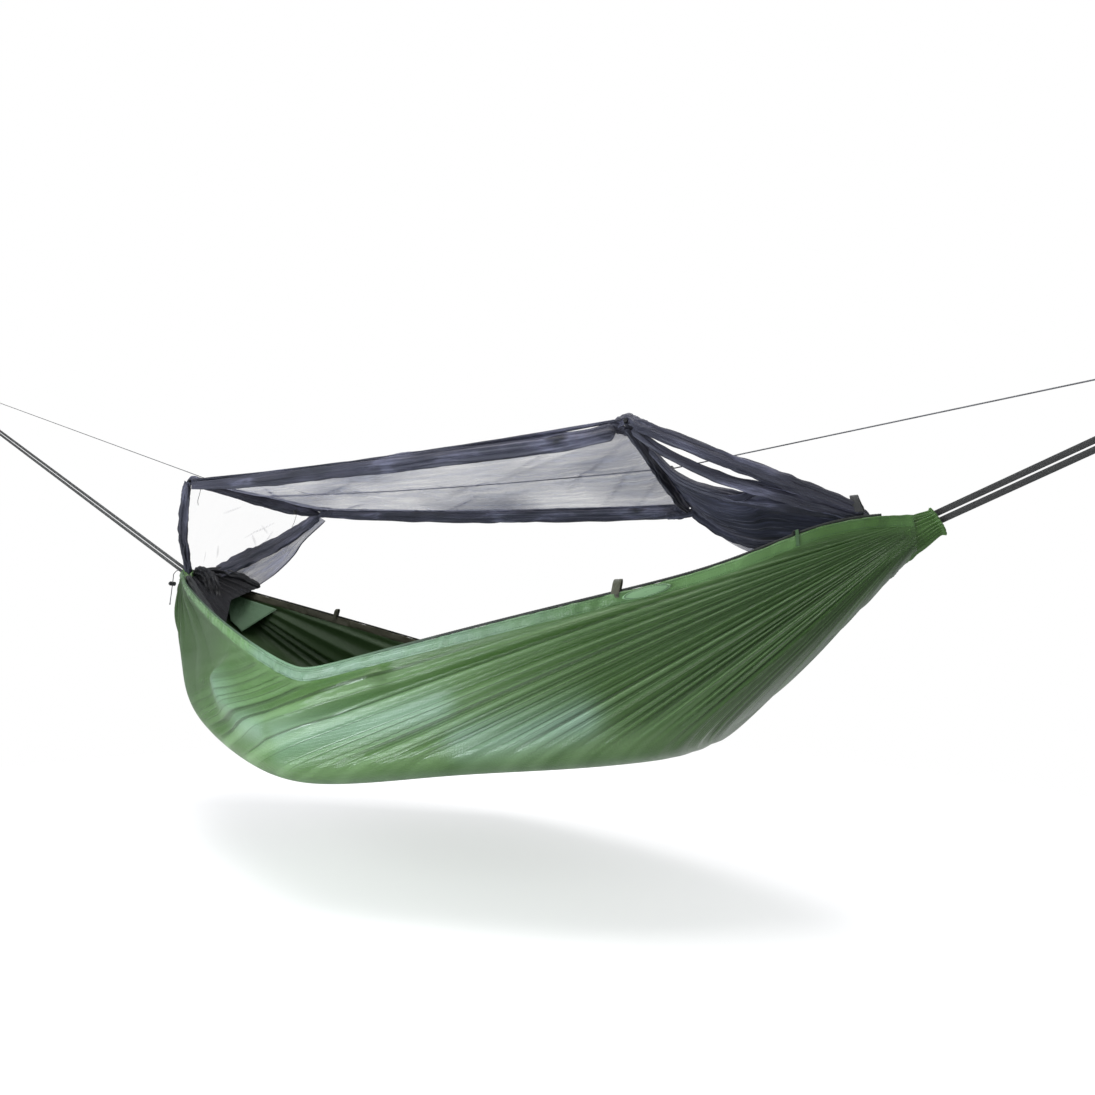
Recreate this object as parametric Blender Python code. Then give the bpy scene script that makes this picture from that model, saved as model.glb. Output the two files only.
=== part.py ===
"""Camping hammock: a gathered-end, double-layer fabric hammock with a roofed mosquito net.

Metres, +Z up. X runs from the head end to the foot end, Y to the back. The origin is the point in
the head carabiner that the whole hammock hangs from.
"""

import math

import bmesh
import bpy
from mathutils import Matrix, Vector

GAP = 0.0004

# Hanging geometry
SPAN = 2.30
FOOT_DROP = 0.04
HEAD_STRAP_ANGLE = math.radians(25.6)
FOOT_STRAP_ANGLE = math.radians(23.3)
HEAD_STRAP = 2.11
FOOT_STRAP = 0.28
HEAD_RIDGE_ANGLE = math.radians(19.9)
FOOT_RIDGE_ANGLE = math.radians(3.9)
HEAD_RIDGE = 2.43
FOOT_RIDGE = 0.80

# Fabric body
OPENING_HALF = 0.43
GATHER_HALF = 0.026
HEM_SAG = 0.31
BELLY_DEPTH = 0.553
BELLY_SWELL = 0.064
KEEL_TURN = 0.048
WALL_ROUNDING = 0.29
LAYER = 0.002
LAYER_GAP = 0.001
HEM_TALL = 0.022
HEM_THICK = 2 * LAYER + LAYER_GAP
BODY_END = 0.965
CHANNEL_HALF_WIDE = 0.020
CHANNEL_HALF_TALL = 0.024
ZIP_TALL = 0.005
ZIP_THICK = 0.0026
ZIP_INSET = 0.0012

# Webbing, cords and their fittings
WEB = 0.012
WEB_SPREAD = 0.0075
EYE_LONG = 0.044
EYE_WIDE = 0.030
EYE_THICK = 0.021
EYE_BORE = 0.0082
WIRE = 0.0045
HOOK_LONG = 0.100
HOOK_WIDE = 0.046
HOOK_BEND = 0.014
HOOK_NOSE = 0.004
CORD = 0.003
DRAWCORD = 0.0025
DRAWCORD_LONG = 0.110
RING_RADIUS = 0.011
RING_WIRE = 0.002

# Net
ROOF_HALF = 0.253
ROOF_HEAD_X = -0.772
ROOF_FOOT_X = 0.633
ROOF_HEAD_Z = 0.238
ROOF_FOOT_Z = 0.129
HEAD_TILT = math.radians(-3.2)
FOOT_TILT = math.radians(5.7)
POLE = 0.0043
SLEEVE = 0.0068
ROLL_TALL = 0.019
ROLL_THICK = 0.012

HEAD_OUT = Vector((-math.cos(HEAD_STRAP_ANGLE), 0, math.sin(HEAD_STRAP_ANGLE)))
FOOT_OUT = Vector((math.cos(FOOT_STRAP_ANGLE), 0, math.sin(FOOT_STRAP_ANGLE)))
EYE_TO_BAR = EYE_LONG / 2 - EYE_BORE - 0.002
BAR_TO_MOUNT = HOOK_LONG - WIRE
HEAD_REACH = GAP + HEAD_STRAP + EYE_LONG / 2 + EYE_TO_BAR + BAR_TO_MOUNT
CENTRE = HEAD_OUT * -HEAD_REACH + Vector((SPAN / 2, 0, 0))


def clear_scene():
    for obj in list(bpy.data.objects):
        bpy.data.objects.remove(obj, do_unlink=True)


def material(name, colour, roughness, metallic=0.0):
    mat = bpy.data.materials.new(name)
    mat.use_nodes = True
    shader = mat.node_tree.nodes["Principled BSDF"]
    shader.inputs["Base Color"].default_value = (*colour, 1)
    shader.inputs["Roughness"].default_value = roughness
    shader.inputs["Metallic"].default_value = metallic
    return mat


def add_object(name, data, look, smooth=False):
    obj = bpy.data.objects.new(name, data)
    bpy.context.collection.objects.link(obj)
    data.materials.append(material(name, *look))
    if smooth:
        for face in data.polygons:
            face.use_smooth = True
    return obj


def rings_object(name, rings, look, smooth=True):
    """A closed solid lofted through rings of points, with a flat cap on each end.

    Both halves of a ring split their quads along matching diagonals, so that thin nested layers
    keep an even thickness and an even gap.
    """
    mesh = bmesh.new()
    loops = [[mesh.verts.new(point) for point in ring] for ring in rings]
    count = len(loops[0])
    for near, far in zip(loops, loops[1:]):
        for i in range(count):
            j = (i + 1) % count
            if i < count / 2:
                mesh.faces.new((near[i], near[j], far[j]))
                mesh.faces.new((near[i], far[j], far[i]))
            else:
                mesh.faces.new((near[i], near[j], far[i]))
                mesh.faces.new((near[j], far[j], far[i]))
    mesh.faces.new(loops[0])
    mesh.faces.new(loops[-1][::-1])
    return finish_mesh(name, mesh, look, smooth)


def finish_mesh(name, mesh, look, smooth):
    bmesh.ops.recalc_face_normals(mesh, faces=mesh.faces)
    data = bpy.data.meshes.new(name)
    mesh.to_mesh(data)
    mesh.free()
    return add_object(name, data, look, smooth)


def box_object(name, size, place, look, bevel=0.0):
    mesh = bmesh.new()
    bmesh.ops.create_cube(mesh, size=1, matrix=Matrix.Diagonal((*size, 1)))
    obj = finish_mesh(name, mesh, look, False)
    obj.matrix_world = place
    if bevel:
        modifier = obj.modifiers.new("edges", "BEVEL")
        modifier.width = bevel
        modifier.segments = 2
    return obj


def cylinder_object(name, radius, length, place, look, sides=20):
    """A round bar along the local Z axis, centred on its place."""
    mesh = bmesh.new()
    bmesh.ops.create_cone(
        mesh, cap_ends=True, segments=sides, radius1=radius, radius2=radius, depth=length
    )
    obj = finish_mesh(name, mesh, look, False)
    obj.matrix_world = place
    return obj


def cut(obj, cutter):
    cutter.display_type = "WIRE"
    cutter.hide_render = True
    cutter.parent = obj
    cutter.matrix_parent_inverse = obj.matrix_world.inverted()
    modifier = obj.modifiers.new("cut", "BOOLEAN")
    modifier.operation = "DIFFERENCE"
    modifier.solver = "EXACT"
    modifier.object = cutter


def frame_at(origin, x_axis, y_axis):
    """A placement whose local X and Y run along the given world directions."""
    x = x_axis.normalized()
    z = x.cross(y_axis).normalized()
    y = z.cross(x)
    matrix = Matrix((x, y, z)).transposed().to_4x4()
    matrix.translation = origin
    return matrix


def centred(x, y, z):
    return CENTRE + Vector((x, y, z))


def gather_point(end):
    """Where the strap leaves the gathered fabric: end is -1 at the head and 1 at the foot."""
    return centred(end * SPAN / 2, 0, -FOOT_DROP * (end + 1) / 2)


# The fabric body's shape: u runs from -1 at the head gather to 1 at the foot gather


def hem_half(u):
    spread = (1 - abs(u) ** 1.45) * (1 + 0.07 * u)
    return GATHER_HALF + (OPENING_HALF - GATHER_HALF) * spread


def hem_height(u):
    dip = math.sqrt(u * u + 0.0016) - 0.04
    rise, place, width = (0.037, 0.86, 0.14) if u > 0 else (0.02, 0.93, 0.06)
    crown = rise * math.exp(-(((abs(u) - place) / width) ** 2))
    return -HEM_SAG * (1 - dip) + crown - FOOT_DROP * (u + 1) / 2


def belly_height(u):
    """The keel: round at the head, and at the foot a shallow floor that turns up in a straight run."""
    if u < 0:
        share = (1 - abs(u) ** 2.1) * (1 - 0.12 * u)
    else:
        floor = 1 - 0.12 * u - 0.2 * u * u / (u + 0.15)
        run = (1 - u) / 0.447
        share = -KEEL_TURN * math.log(math.exp(-floor / KEEL_TURN) + math.exp(-run / KEEL_TURN))
    return -0.026 * u**4 - BELLY_DEPTH * share - FOOT_DROP * (u + 1) / 2


def body_point(u, turn, inset):
    """A point of the cross-section: turn is -1 at the front hem, 0 at the keel, 1 at the back."""
    phi = turn * math.pi / 2
    side = math.sin(phi)
    swell = BELLY_SWELL * (1 - u**4) * math.sin(2 * abs(phi)) * (1 if phi > 0 else -1)
    half = hem_half(u) - inset
    top = hem_height(u) - HEM_TALL
    drop = (top - belly_height(u) - inset) * max(math.cos(phi), 0) ** WALL_ROUNDING
    return centred(SPAN / 2 * u, half * side + swell, top - drop)


def stations(count, end):
    """Places along the body, closer together near the middle dip of the hems and at the ends."""
    steps = [2 * i / (count - 1) - 1 for i in range(count)]
    return [end * (0.75 * s + 0.25 * math.sin(s * math.pi / 2)) for s in steps]


BODY_STATIONS = stations(25, BODY_END)
TURNS = [-1, -0.985, -0.94, -0.85, -0.7, -0.45, -0.2, 0, 0.2, 0.45, 0.7, 0.85, 0.94, 0.985, 1]


def make_layer(name, inset, look):
    """One fabric layer of the body: a long open trough of even thickness."""
    rings = []
    for u in BODY_STATIONS:
        outside = [body_point(u, turn, inset) for turn in TURNS]
        inside = [body_point(u, turn, inset + LAYER) for turn in TURNS]
        rings.append(outside + inside[::-1])
    return rings_object(name, rings, look)


def hem_ring(u, side, low, high, thin, out):
    """A rectangle across the hem: low and high from the hem's top, out from its outer face."""
    outer = side * (hem_half(u) - out)
    inner = side * (hem_half(u) - out - thin)
    z = hem_height(u)
    x = SPAN / 2 * u
    return [
        centred(x, outer, z + low),
        centred(x, inner, z + low),
        centred(x, inner, z + high),
        centred(x, outer, z + high),
    ]


def make_hem(name, side, look):
    low = GAP - HEM_TALL
    rings = [hem_ring(u, side, low, 0, HEM_THICK, 0) for u in BODY_STATIONS]
    return rings_object(name, rings, look, smooth=False)


def make_zip_tape(name, side, look):
    """The half of the zip that stays on the hem when the net door is open."""
    rings = [hem_ring(u, side, GAP, ZIP_TALL, ZIP_THICK, ZIP_INSET) for u in BODY_STATIONS[1:-1]]
    return rings_object(name, rings, look, smooth=False)


def make_end_channel(name, end, out, look):
    """The gathered, stitched fabric channel that the strap pulls on."""
    u = end * BODY_END
    inner_x = SPAN / 2 * u + end * GAP
    top = hem_height(u)
    low = belly_height(u)
    half_tall = (top - low) / 2
    fill = 0.93
    gather = gather_point(end)
    up = Vector((-end * out.z, 0, abs(out.x)))
    rings = []
    for share in (0, 0.3, 0.65, 1):
        ease = 0.35 * share + 0.65 * share * share * (3 - 2 * share)
        ring = []
        for i in range(20):
            angle = 2 * math.pi * i / 20
            ruffle = 1 + 0.07 * (-1) ** i
            wide = math.cos(angle) * ruffle
            tall = math.sin(angle) * ruffle
            start = centred(inner_x, hem_half(u) * fill * wide, low + half_tall * (1 + fill * tall))
            finish = gather + Vector((0, CHANNEL_HALF_WIDE * wide, 0)) + up * (CHANNEL_HALF_TALL * tall)
            ring.append(start.lerp(finish, ease))
        rings.append(ring)
    return rings_object(name, rings, look, smooth=False)


# Suspension straps and carabiners


def cord_object(name, points, diameter, look):
    data = bpy.data.curves.new(name, "CURVE")
    data.dimensions = "3D"
    data.bevel_depth = diameter / 2
    data.bevel_resolution = 2
    data.use_fill_caps = True
    spline = data.splines.new("POLY")
    spline.points.add(len(points) - 1)
    for place, point in zip(spline.points, points):
        place.co = (*point, 1)
    obj = bpy.data.objects.new(name, data)
    bpy.context.collection.objects.link(obj)
    data.materials.append(material(name, *look))
    return obj


def straight_run(start, end, spacing):
    count = max(2, math.ceil((end - start).length / spacing) + 1)
    return [start.lerp(end, i / (count - 1)) for i in range(count)]


def make_strap_legs(name, end, out, length, look):
    """The two parallel runs of webbing from the end channel to the sewn eye."""
    up = Vector((-end * out.z, 0, abs(out.x)))
    start = gather_point(end) + out * GAP
    for leg, side in (("upper_leg", 1), ("lower_leg", -1)):
        shift = up * (side * WEB_SPREAD)
        run = straight_run(start + shift, start + out * (length - GAP) + shift, 3 * WEB)
        cord_object(f"{name}_{leg}", run, WEB, look)
    return start + out * length


def make_strap_eye(name, start, out, look):
    """The sewn webbing eye round the carabiner's bar. Returns the bar's centre."""
    middle = start + out * (EYE_LONG / 2)
    place = frame_at(middle, out, Vector((0, 1, 0)))
    eye = box_object(name, (EYE_LONG, EYE_THICK, EYE_WIDE), place, look, 0.002)
    bar = middle + out * EYE_TO_BAR
    bore_place = frame_at(bar, out, Vector((0, 1, 0)))
    bore = cylinder_object(f"{name}_bore", EYE_BORE, EYE_WIDE * 1.5, bore_place, look, 24)
    cut(eye, bore)
    return bar


def hook_path(samples):
    """The carabiner's centre line in its own plane, from the gate's nose round to its hinge."""
    near = HOOK_BEND
    far = HOOK_LONG - HOOK_BEND
    high = HOOK_WIDE / 2 - HOOK_BEND
    points = [Vector((near + HOOK_NOSE, -HOOK_WIDE / 2))]
    for x, y, first_angle in ((near, -high, -90), (near, high, 180), (far, high, 90), (far, -high, 0)):
        for i in range(samples + 1):
            angle = math.radians(first_angle - 90 * i / samples)
            points.append(Vector((x + HOOK_BEND * math.cos(angle), y + HOOK_BEND * math.sin(angle))))
    points.append(Vector((far - HOOK_NOSE, -HOOK_WIDE / 2)))
    return points


def tube_rings(path, radius, across, sides=10):
    """Round sections square to a path that lies in the plane square to the direction across."""
    rings = []
    for i, point in enumerate(path):
        along = (path[min(i + 1, len(path) - 1)] - path[max(i - 1, 0)]).normalized()
        up = across.cross(along).normalized()
        ring = []
        for k in range(sides):
            angle = 2 * math.pi * k / sides
            ring.append(point + radius * (math.cos(angle) * across + math.sin(angle) * up))
        rings.append(ring)
    return rings


def make_carabiner(name, bar, out, end, look, gate_look):
    """A D-shaped carabiner in the vertical plane, with its sprung gate along the underside."""
    up = Vector((-end * out.z, 0, abs(out.x)))
    across = Vector((0, 1, 0))
    flat = hook_path(4)
    path = [bar + out * p.x + up * p.y for p in flat]
    rings_object(name, tube_rings(path, WIRE, across), look)
    nose = path[0] + out * GAP
    hinge = path[-1] - out * GAP
    shoulder = hinge - (hinge - nose).normalized() * 0.003
    rings = tube_rings([nose, nose.lerp(hinge, 0.5), shoulder, hinge], WIRE * 0.8, across)
    rings[-1] = [hinge.lerp(point, 0.2) for point in rings[-1]]
    gate = rings_object(f"{name}_gate", rings, gate_look)
    move_origin(gate, hinge)
    return hinge


def move_origin(obj, place):
    obj.data.transform(Matrix.Translation(-place))
    obj.matrix_world = Matrix.Translation(place)


# The net's roof


def roof_corner(end, side):
    x, z, tilt = ROOF_FOOT_X, ROOF_FOOT_Z, FOOT_TILT
    if end < 0:
        x, z, tilt = ROOF_HEAD_X, ROOF_HEAD_Z, HEAD_TILT
    return centred(x, side * ROOF_HALF * math.cos(tilt), z - side * ROOF_HALF * math.sin(tilt))


def roof_point(along, side, rise=0.0):
    """A point of the roof: along is 0 at the head bar and 1 at the foot bar, side is -1 to 1."""
    head = roof_corner(-1, -1).lerp(roof_corner(-1, 1), (side + 1) / 2)
    foot = roof_corner(1, -1).lerp(roof_corner(1, 1), (side + 1) / 2)
    slack = -0.012 * 4 * along * (1 - along)
    return head.lerp(foot, along) + Vector((0, 0, slack + rise))


def roof_strip(name, from_side, to_side, low, high, first, last, look):
    rings = []
    for i in range(13):
        along = first + (last - first) * i / 12
        lower = [roof_point(along, s, low) for s in (from_side, (from_side + to_side) / 2, to_side)]
        upper = [roof_point(along, s, high) for s in (to_side, (from_side + to_side) / 2, from_side)]
        rings.append(lower + upper)
    return rings_object(name, rings, look, smooth=False)


def make_roof(net, tape):
    length = ROOF_FOOT_X - ROOF_HEAD_X
    inset = (SLEEVE + GAP) / length
    side = 1 - (ROLL_THICK + 0.001) / ROOF_HALF
    roof_strip("roof_net", -side, side, -0.001, 0.001, inset, 1 - inset, net)
    roof_strip("roof_centre_tape", -0.016, 0.016, 0.0014, 0.003, inset, 1 - inset, tape)


def make_door_roll(name, side, look):
    """A net door rolled up and tied under the roof's long edge."""
    length = ROOF_FOOT_X - ROOF_HEAD_X
    ends = (SLEEVE + 0.002) / length
    rings = []
    for i in range(13):
        along = ends + (1 - 2 * ends) * i / 12
        middle = roof_point(along, side, 0.004 - ROLL_TALL)
        swell = 1 - 0.12 * (i % 2)
        ring = []
        for k in range(10):
            angle = 2 * math.pi * k / 10
            wide = ROLL_THICK * swell * math.cos(angle)
            ring.append(middle + Vector((0, wide, ROLL_TALL * math.sin(angle))))
        rings.append(ring)
    return rings_object(name, rings, look)


def make_spreader(name, end, sleeve_look, pole_look):
    """A spreader pole in the fabric sleeve that holds the roof open."""
    front = roof_corner(end, -1)
    back = roof_corner(end, 1)
    middle = front.lerp(back, 0.5)
    place = frame_at(middle, Vector((1, 0, 0)), Vector((1, 0, 0)).cross(front - back))
    length = 2 * ROOF_HALF
    sleeve = cylinder_object(f"{name}_pole_sleeve", SLEEVE, length - 0.006, place, sleeve_look, 14)
    bore = cylinder_object(f"{name}_pole_sleeve_bore", POLE + 0.0005, length, place, sleeve_look, 14)
    cut(sleeve, bore)
    cylinder_object(f"{name}_spreader_pole", POLE, length + 0.004, place, pole_look, 14)
    return middle


def make_ridge_line(name, end, middle, angle, length, loop_look, cord_look, ring_look):
    """A sewn loop on the bar, the ridge cord out of it and the ring the cord is tied to."""
    out = Vector((end * math.cos(angle), 0, math.sin(angle)))
    size = Vector((0.016, 0.014, 0.010))
    block = middle + Vector((end * (SLEEVE + GAP + size.x / 2), 0, 0))
    box_object(f"{name}_ridge_loop", size, Matrix.Translation(block), loop_look, 0.001)
    start = block + Vector((end * (size.x / 2 + GAP), 0, 0)) + out * (CORD / 2)
    stop = start + out * length
    cord_object(f"{name}_ridge_cord", straight_run(start, stop, 0.035), CORD, cord_look)
    centre = stop + out * (RING_RADIUS + RING_WIRE + GAP)
    mesh = bmesh.new()
    steps = 20
    loops = []
    for i in range(steps):
        turn = 2 * math.pi * i / steps
        spoke = Vector((math.cos(turn), 0, math.sin(turn)))
        loop = []
        for k in range(8):
            around = 2 * math.pi * k / 8
            reach = spoke * (RING_RADIUS + RING_WIRE * math.cos(around))
            loop.append(mesh.verts.new(centre + reach + Vector((0, RING_WIRE * math.sin(around), 0))))
        loops.append(loop)
    for i in range(steps):
        near = loops[i]
        far = loops[(i + 1) % steps]
        for k in range(8):
            j = (k + 1) % 8
            mesh.faces.new((near[k], near[j], far[j], far[k]))
    finish_mesh(f"{name}_ridge_ring", mesh, ring_look, True)


# The net's ends


def make_net_panel(name, top_left, top_right, low_left, low_right, look):
    """A thin net panel between a spreader bar and a gathered end."""
    thick = Vector((0, 0, 0.002))
    rings = []
    for i in range(7):
        share = i / 6
        left = top_left.lerp(low_left, share)
        right = top_right.lerp(low_right, share)
        row = [left.lerp(right, k / 4) for k in range(5)]
        rings.append(row + [point + thick for point in row[::-1]])
    return rings_object(name, rings, look, smooth=False)


def make_net_band(name, route, half_wide, half_thick, look):
    """A gathered edge of the net: a flat soft rope along a route of hand-chosen points."""
    rings = []
    for i, point in enumerate(route):
        along = (route[min(i + 1, len(route) - 1)] - route[max(i - 1, 0)]).normalized()
        side = Vector((0, 1, 0)).cross(along).normalized()
        flat = along.cross(side)
        ring = []
        for k in range(8):
            angle = 2 * math.pi * k / 8
            ring.append(point + side * half_wide * math.cos(angle) + flat * half_thick * math.sin(angle))
        rings.append(ring)
    return rings_object(name, rings, look)


def make_net_ends(look):
    head = ROOF_HEAD_X - SLEEVE - 0.020
    foot = ROOF_FOOT_X + SLEEVE + 0.020
    make_net_panel(
        "head_net_panel",
        centred(head - 0.010, -0.215, 0.205),
        centred(head - 0.010, 0.215, 0.230),
        centred(-1.055, -0.028, 0.045),
        centred(-1.055, 0.028, 0.045),
        look,
    )
    make_net_panel(
        "foot_net_panel",
        centred(foot, -0.205, 0.128),
        centred(foot, 0.205, 0.088),
        centred(1.000, -0.038, -0.020),
        centred(1.000, 0.038, -0.022),
        look,
    )
    routes = {
        "head_front": [
            (head, -0.250, 0.203),
            (-0.90, -0.190, 0.125),
            (-1.00, -0.115, 0.070),
            (-1.07, -0.062, 0.030),
        ],
        "head_back": [
            (head, 0.250, 0.232),
            (-0.89, 0.190, 0.125),
            (-0.98, 0.120, 0.060),
            (-1.06, 0.062, 0.024),
        ],
        "foot_front": [
            (foot, -0.246, 0.120),
            (0.78, -0.192, 0.066),
            (0.91, -0.128, 0.014),
            (1.02, -0.072, -0.024),
        ],
        "foot_back": [
            (foot, 0.246, 0.064),
            (0.78, 0.200, 0.006),
            (0.91, 0.140, -0.034),
            (1.02, 0.075, -0.034),
        ],
    }
    for name, route in routes.items():
        make_net_band(f"{name}_net_band", [centred(*point) for point in route], 0.013, 0.008, look)


def make_net_gather(look):
    """The bunched end of the net, which lies inside the head end of the body."""
    rings = []
    for x, half, high, low in (
        (-1.085, 0.012, 0.006, -0.020),
        (-1.050, 0.022, 0.014, -0.032),
        (-1.000, 0.032, 0.004, -0.075),
        (-0.950, 0.036, -0.020, -0.110),
        (-0.915, 0.020, -0.040, -0.100),
    ):
        ring = []
        for k in range(10):
            angle = 2 * math.pi * k / 10
            tall = (high + low) / 2 + (high - low) / 2 * math.sin(angle)
            ring.append(centred(x, half * math.cos(angle), tall))
        rings.append(ring)
    return rings_object("head_net_gather", rings, look)


# Small hardware on the fabric body


def hem_frame(u, side):
    """A placement on top of the hem: local X along the hem to the foot, Y to the back, Z up."""
    step = 0.01
    here = centred(SPAN / 2 * u, side * hem_half(u), hem_height(u))
    after = centred(SPAN / 2 * (u + step), side * hem_half(u + step), hem_height(u + step))
    before = centred(SPAN / 2 * (u - step), side * hem_half(u - step), hem_height(u - step))
    return frame_at(here, after - before, Vector((0, 1, 0)))


def make_tieout_loop(name, u, side, look):
    """A folded webbing loop over the hem, open end to end, for a guy line that spreads the body."""
    long = 0.016
    deep = 0.009
    tall = 0.014
    wall = 0.0016
    slope_room = 0.003
    lift = ZIP_TALL + GAP + slope_room + tall / 2
    middle = hem_frame(u, side).translation + Vector((0, -side * HEM_THICK / 2, lift))
    place = Matrix.Translation(middle)
    loop = box_object(name, (long, deep, tall), place, look, 0.0006)
    hole = box_object(f"{name}_hole", (2 * long, deep - 2 * wall, tall - 2 * wall), place, look)
    cut(loop, hole)


def make_zip_slider(name, u, side, look, pull_look):
    """A zip slider over the tape, with a cord pull that swings beside it."""
    place = hem_frame(u, side)
    tape_middle = -side * (ZIP_INSET + ZIP_THICK / 2)
    body = box_object(
        f"{name}_zip_slider",
        (0.012, 0.0086, 0.0082),
        place @ Matrix.Translation((0, tape_middle, 0.0053)),
        look,
        0.0008,
    )
    slot = box_object(
        f"{name}_zip_slider_slot",
        (0.02, 2 * ZIP_THICK, 0.0082),
        place @ Matrix.Translation((0, tape_middle, 0.0027)),
        look,
    )
    cut(body, slot)
    pivot = place @ Vector((0, tape_middle + side * 0.0072, 0.0065))
    down = box_object(
        f"{name}_zip_pull",
        (0.006, 0.0022, 0.030),
        Matrix.Translation(pivot - Vector((0, 0, 0.0135))),
        pull_look,
        0.0006,
    )
    down.data.transform(Matrix.Translation((0, 0, -0.0135)))
    down.matrix_world = Matrix.Translation(pivot)


def make_cord_lock(cord_look, lock_look, spring_look):
    """The drawcord at the head gather, with its cord lock, sprung button and spring."""
    top = gather_point(-1) + Vector((0.002, -0.046, -0.012))
    bottom = top - Vector((0, 0, DRAWCORD_LONG))
    cord_object("drawcord", straight_run(top, bottom, 0.008), DRAWCORD, cord_look)
    middle = top - Vector((0, 0, 0.035))
    along_y = frame_at(middle, Vector((1, 0, 0)), Vector((0, 0, 1)))
    body = cylinder_object("cord_lock_body", 0.0075, 0.016, along_y, lock_look, 20)
    well_place = along_y @ Matrix.Translation((0, 0, 0.003))
    well = cylinder_object("cord_lock_well", 0.0054, 0.016, well_place, lock_look, 20)
    cut(body, well)
    eye = cylinder_object("cord_lock_eye", 0.0020, 0.03, Matrix.Translation(middle), lock_look, 12)
    cut(body, eye)
    button_place = along_y @ Matrix.Translation((0, 0, 0.0045))
    button = cylinder_object("cord_lock_button", 0.0049, 0.014, button_place, lock_look, 20)
    slot_place = Matrix.Translation(middle)
    slot = box_object("cord_lock_button_slot", (0.0042, 0.0105, 0.03), slot_place, lock_look)
    cut(button, slot)
    spring_place = along_y @ Matrix.Translation((0, 0, -0.0037))
    cylinder_object("cord_lock_spring", 0.0035, 0.0018, spring_place, spring_look, 12)


def make_head_pocket(look):
    """The storage pocket sewn inside the head end, lying against the inner layer."""
    rings = []
    inset = 2 * LAYER + LAYER_GAP + 0.001
    turns = [turn for turn in TURNS if 0.4 < turn < 0.95]
    for u in BODY_STATIONS[1:6]:
        outside = [body_point(u, turn, inset) for turn in turns]
        inside = [body_point(u, turn, inset + LAYER) for turn in turns]
        rings.append(outside + inside[::-1])
    return rings_object("head_inner_pocket", rings, look, smooth=False)


def make_door_tie(look):
    """The short webbing tab under the head bar that ties up the rolled door."""
    size = Vector((0.014, 0.010, 0.028))
    above = roof_corner(-1, -1).lerp(roof_corner(-1, 1), 0.75)
    middle = above - Vector((0, 0, SLEEVE + 0.002 + size.z / 2))
    box_object("door_tie_tab", size, Matrix.Translation(middle), look, 0.001)


def build():
    clear_scene()
    ripstop = ((0.085, 0.19, 0.066), 0.42)
    lining = ((0.05, 0.11, 0.04), 0.5)
    binding = ((0.10, 0.21, 0.09), 0.45)
    net = ((0.030, 0.030, 0.045), 0.85)
    net_light = ((0.075, 0.075, 0.10), 0.85)
    webbing = ((0.012, 0.012, 0.012), 0.7)
    olive = ((0.045, 0.042, 0.022), 0.8)
    grey_cord = ((0.12, 0.12, 0.13), 0.6)
    alloy = ((0.75, 0.76, 0.78), 0.25, 1.0)
    steel = ((0.55, 0.56, 0.58), 0.3, 1.0)
    black_alloy = ((0.05, 0.05, 0.055), 0.35, 0.8)
    plastic = ((0.015, 0.015, 0.017), 0.4)

    make_layer("base_outer_layer", 0, ripstop)
    make_layer("base_inner_layer", LAYER + LAYER_GAP, lining)
    for name, side in (("front", -1), ("back", 1)):
        make_hem(f"{name}_hem_binding", side, binding)
        make_zip_tape(f"{name}_zip_tape", side, webbing)
        make_door_roll(f"{name}_door_roll", side, net)
        make_zip_slider(name, 0.80, side, black_alloy, plastic)
    make_tieout_loop("front_tieout_loop", 0.535, -1, olive)
    make_tieout_loop("back_tieout_loop", -0.56, 1, olive)
    for name, end, out, length, ridge_angle, ridge in (
        ("head", -1, HEAD_OUT, HEAD_STRAP, HEAD_RIDGE_ANGLE, HEAD_RIDGE),
        ("foot", 1, FOOT_OUT, FOOT_STRAP, FOOT_RIDGE_ANGLE, FOOT_RIDGE),
    ):
        make_end_channel(f"{name}_end_channel", end, out, binding)
        eye_start = make_strap_legs(f"{name}_strap", end, out, length, webbing)
        bar = make_strap_eye(f"{name}_strap_eye", eye_start, out, webbing)
        make_carabiner(f"{name}_carabiner", bar, out, end, black_alloy, steel)
        middle = make_spreader(name, end, net, alloy)
        make_ridge_line(name, end, middle, ridge_angle, ridge, webbing, grey_cord, steel)
    make_roof(net_light, webbing)
    make_net_ends(net)
    make_net_gather(net)
    make_head_pocket(ripstop)
    make_door_tie(webbing)
    make_cord_lock(webbing, plastic, steel)


build()
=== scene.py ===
"""Looks for the camping hammock: pleated ripstop body, mosquito net, webbing, cords and hardware.

Everything is placed in the CAD frame. P-coordinates are metres from the middle of the hammock's
two gathered ends, X to the foot, Y to the back and Z up; placed() turns them into the CAD frame.
"""

import math

import bpy
import numpy as np
from mathutils import Matrix, Vector


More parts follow.
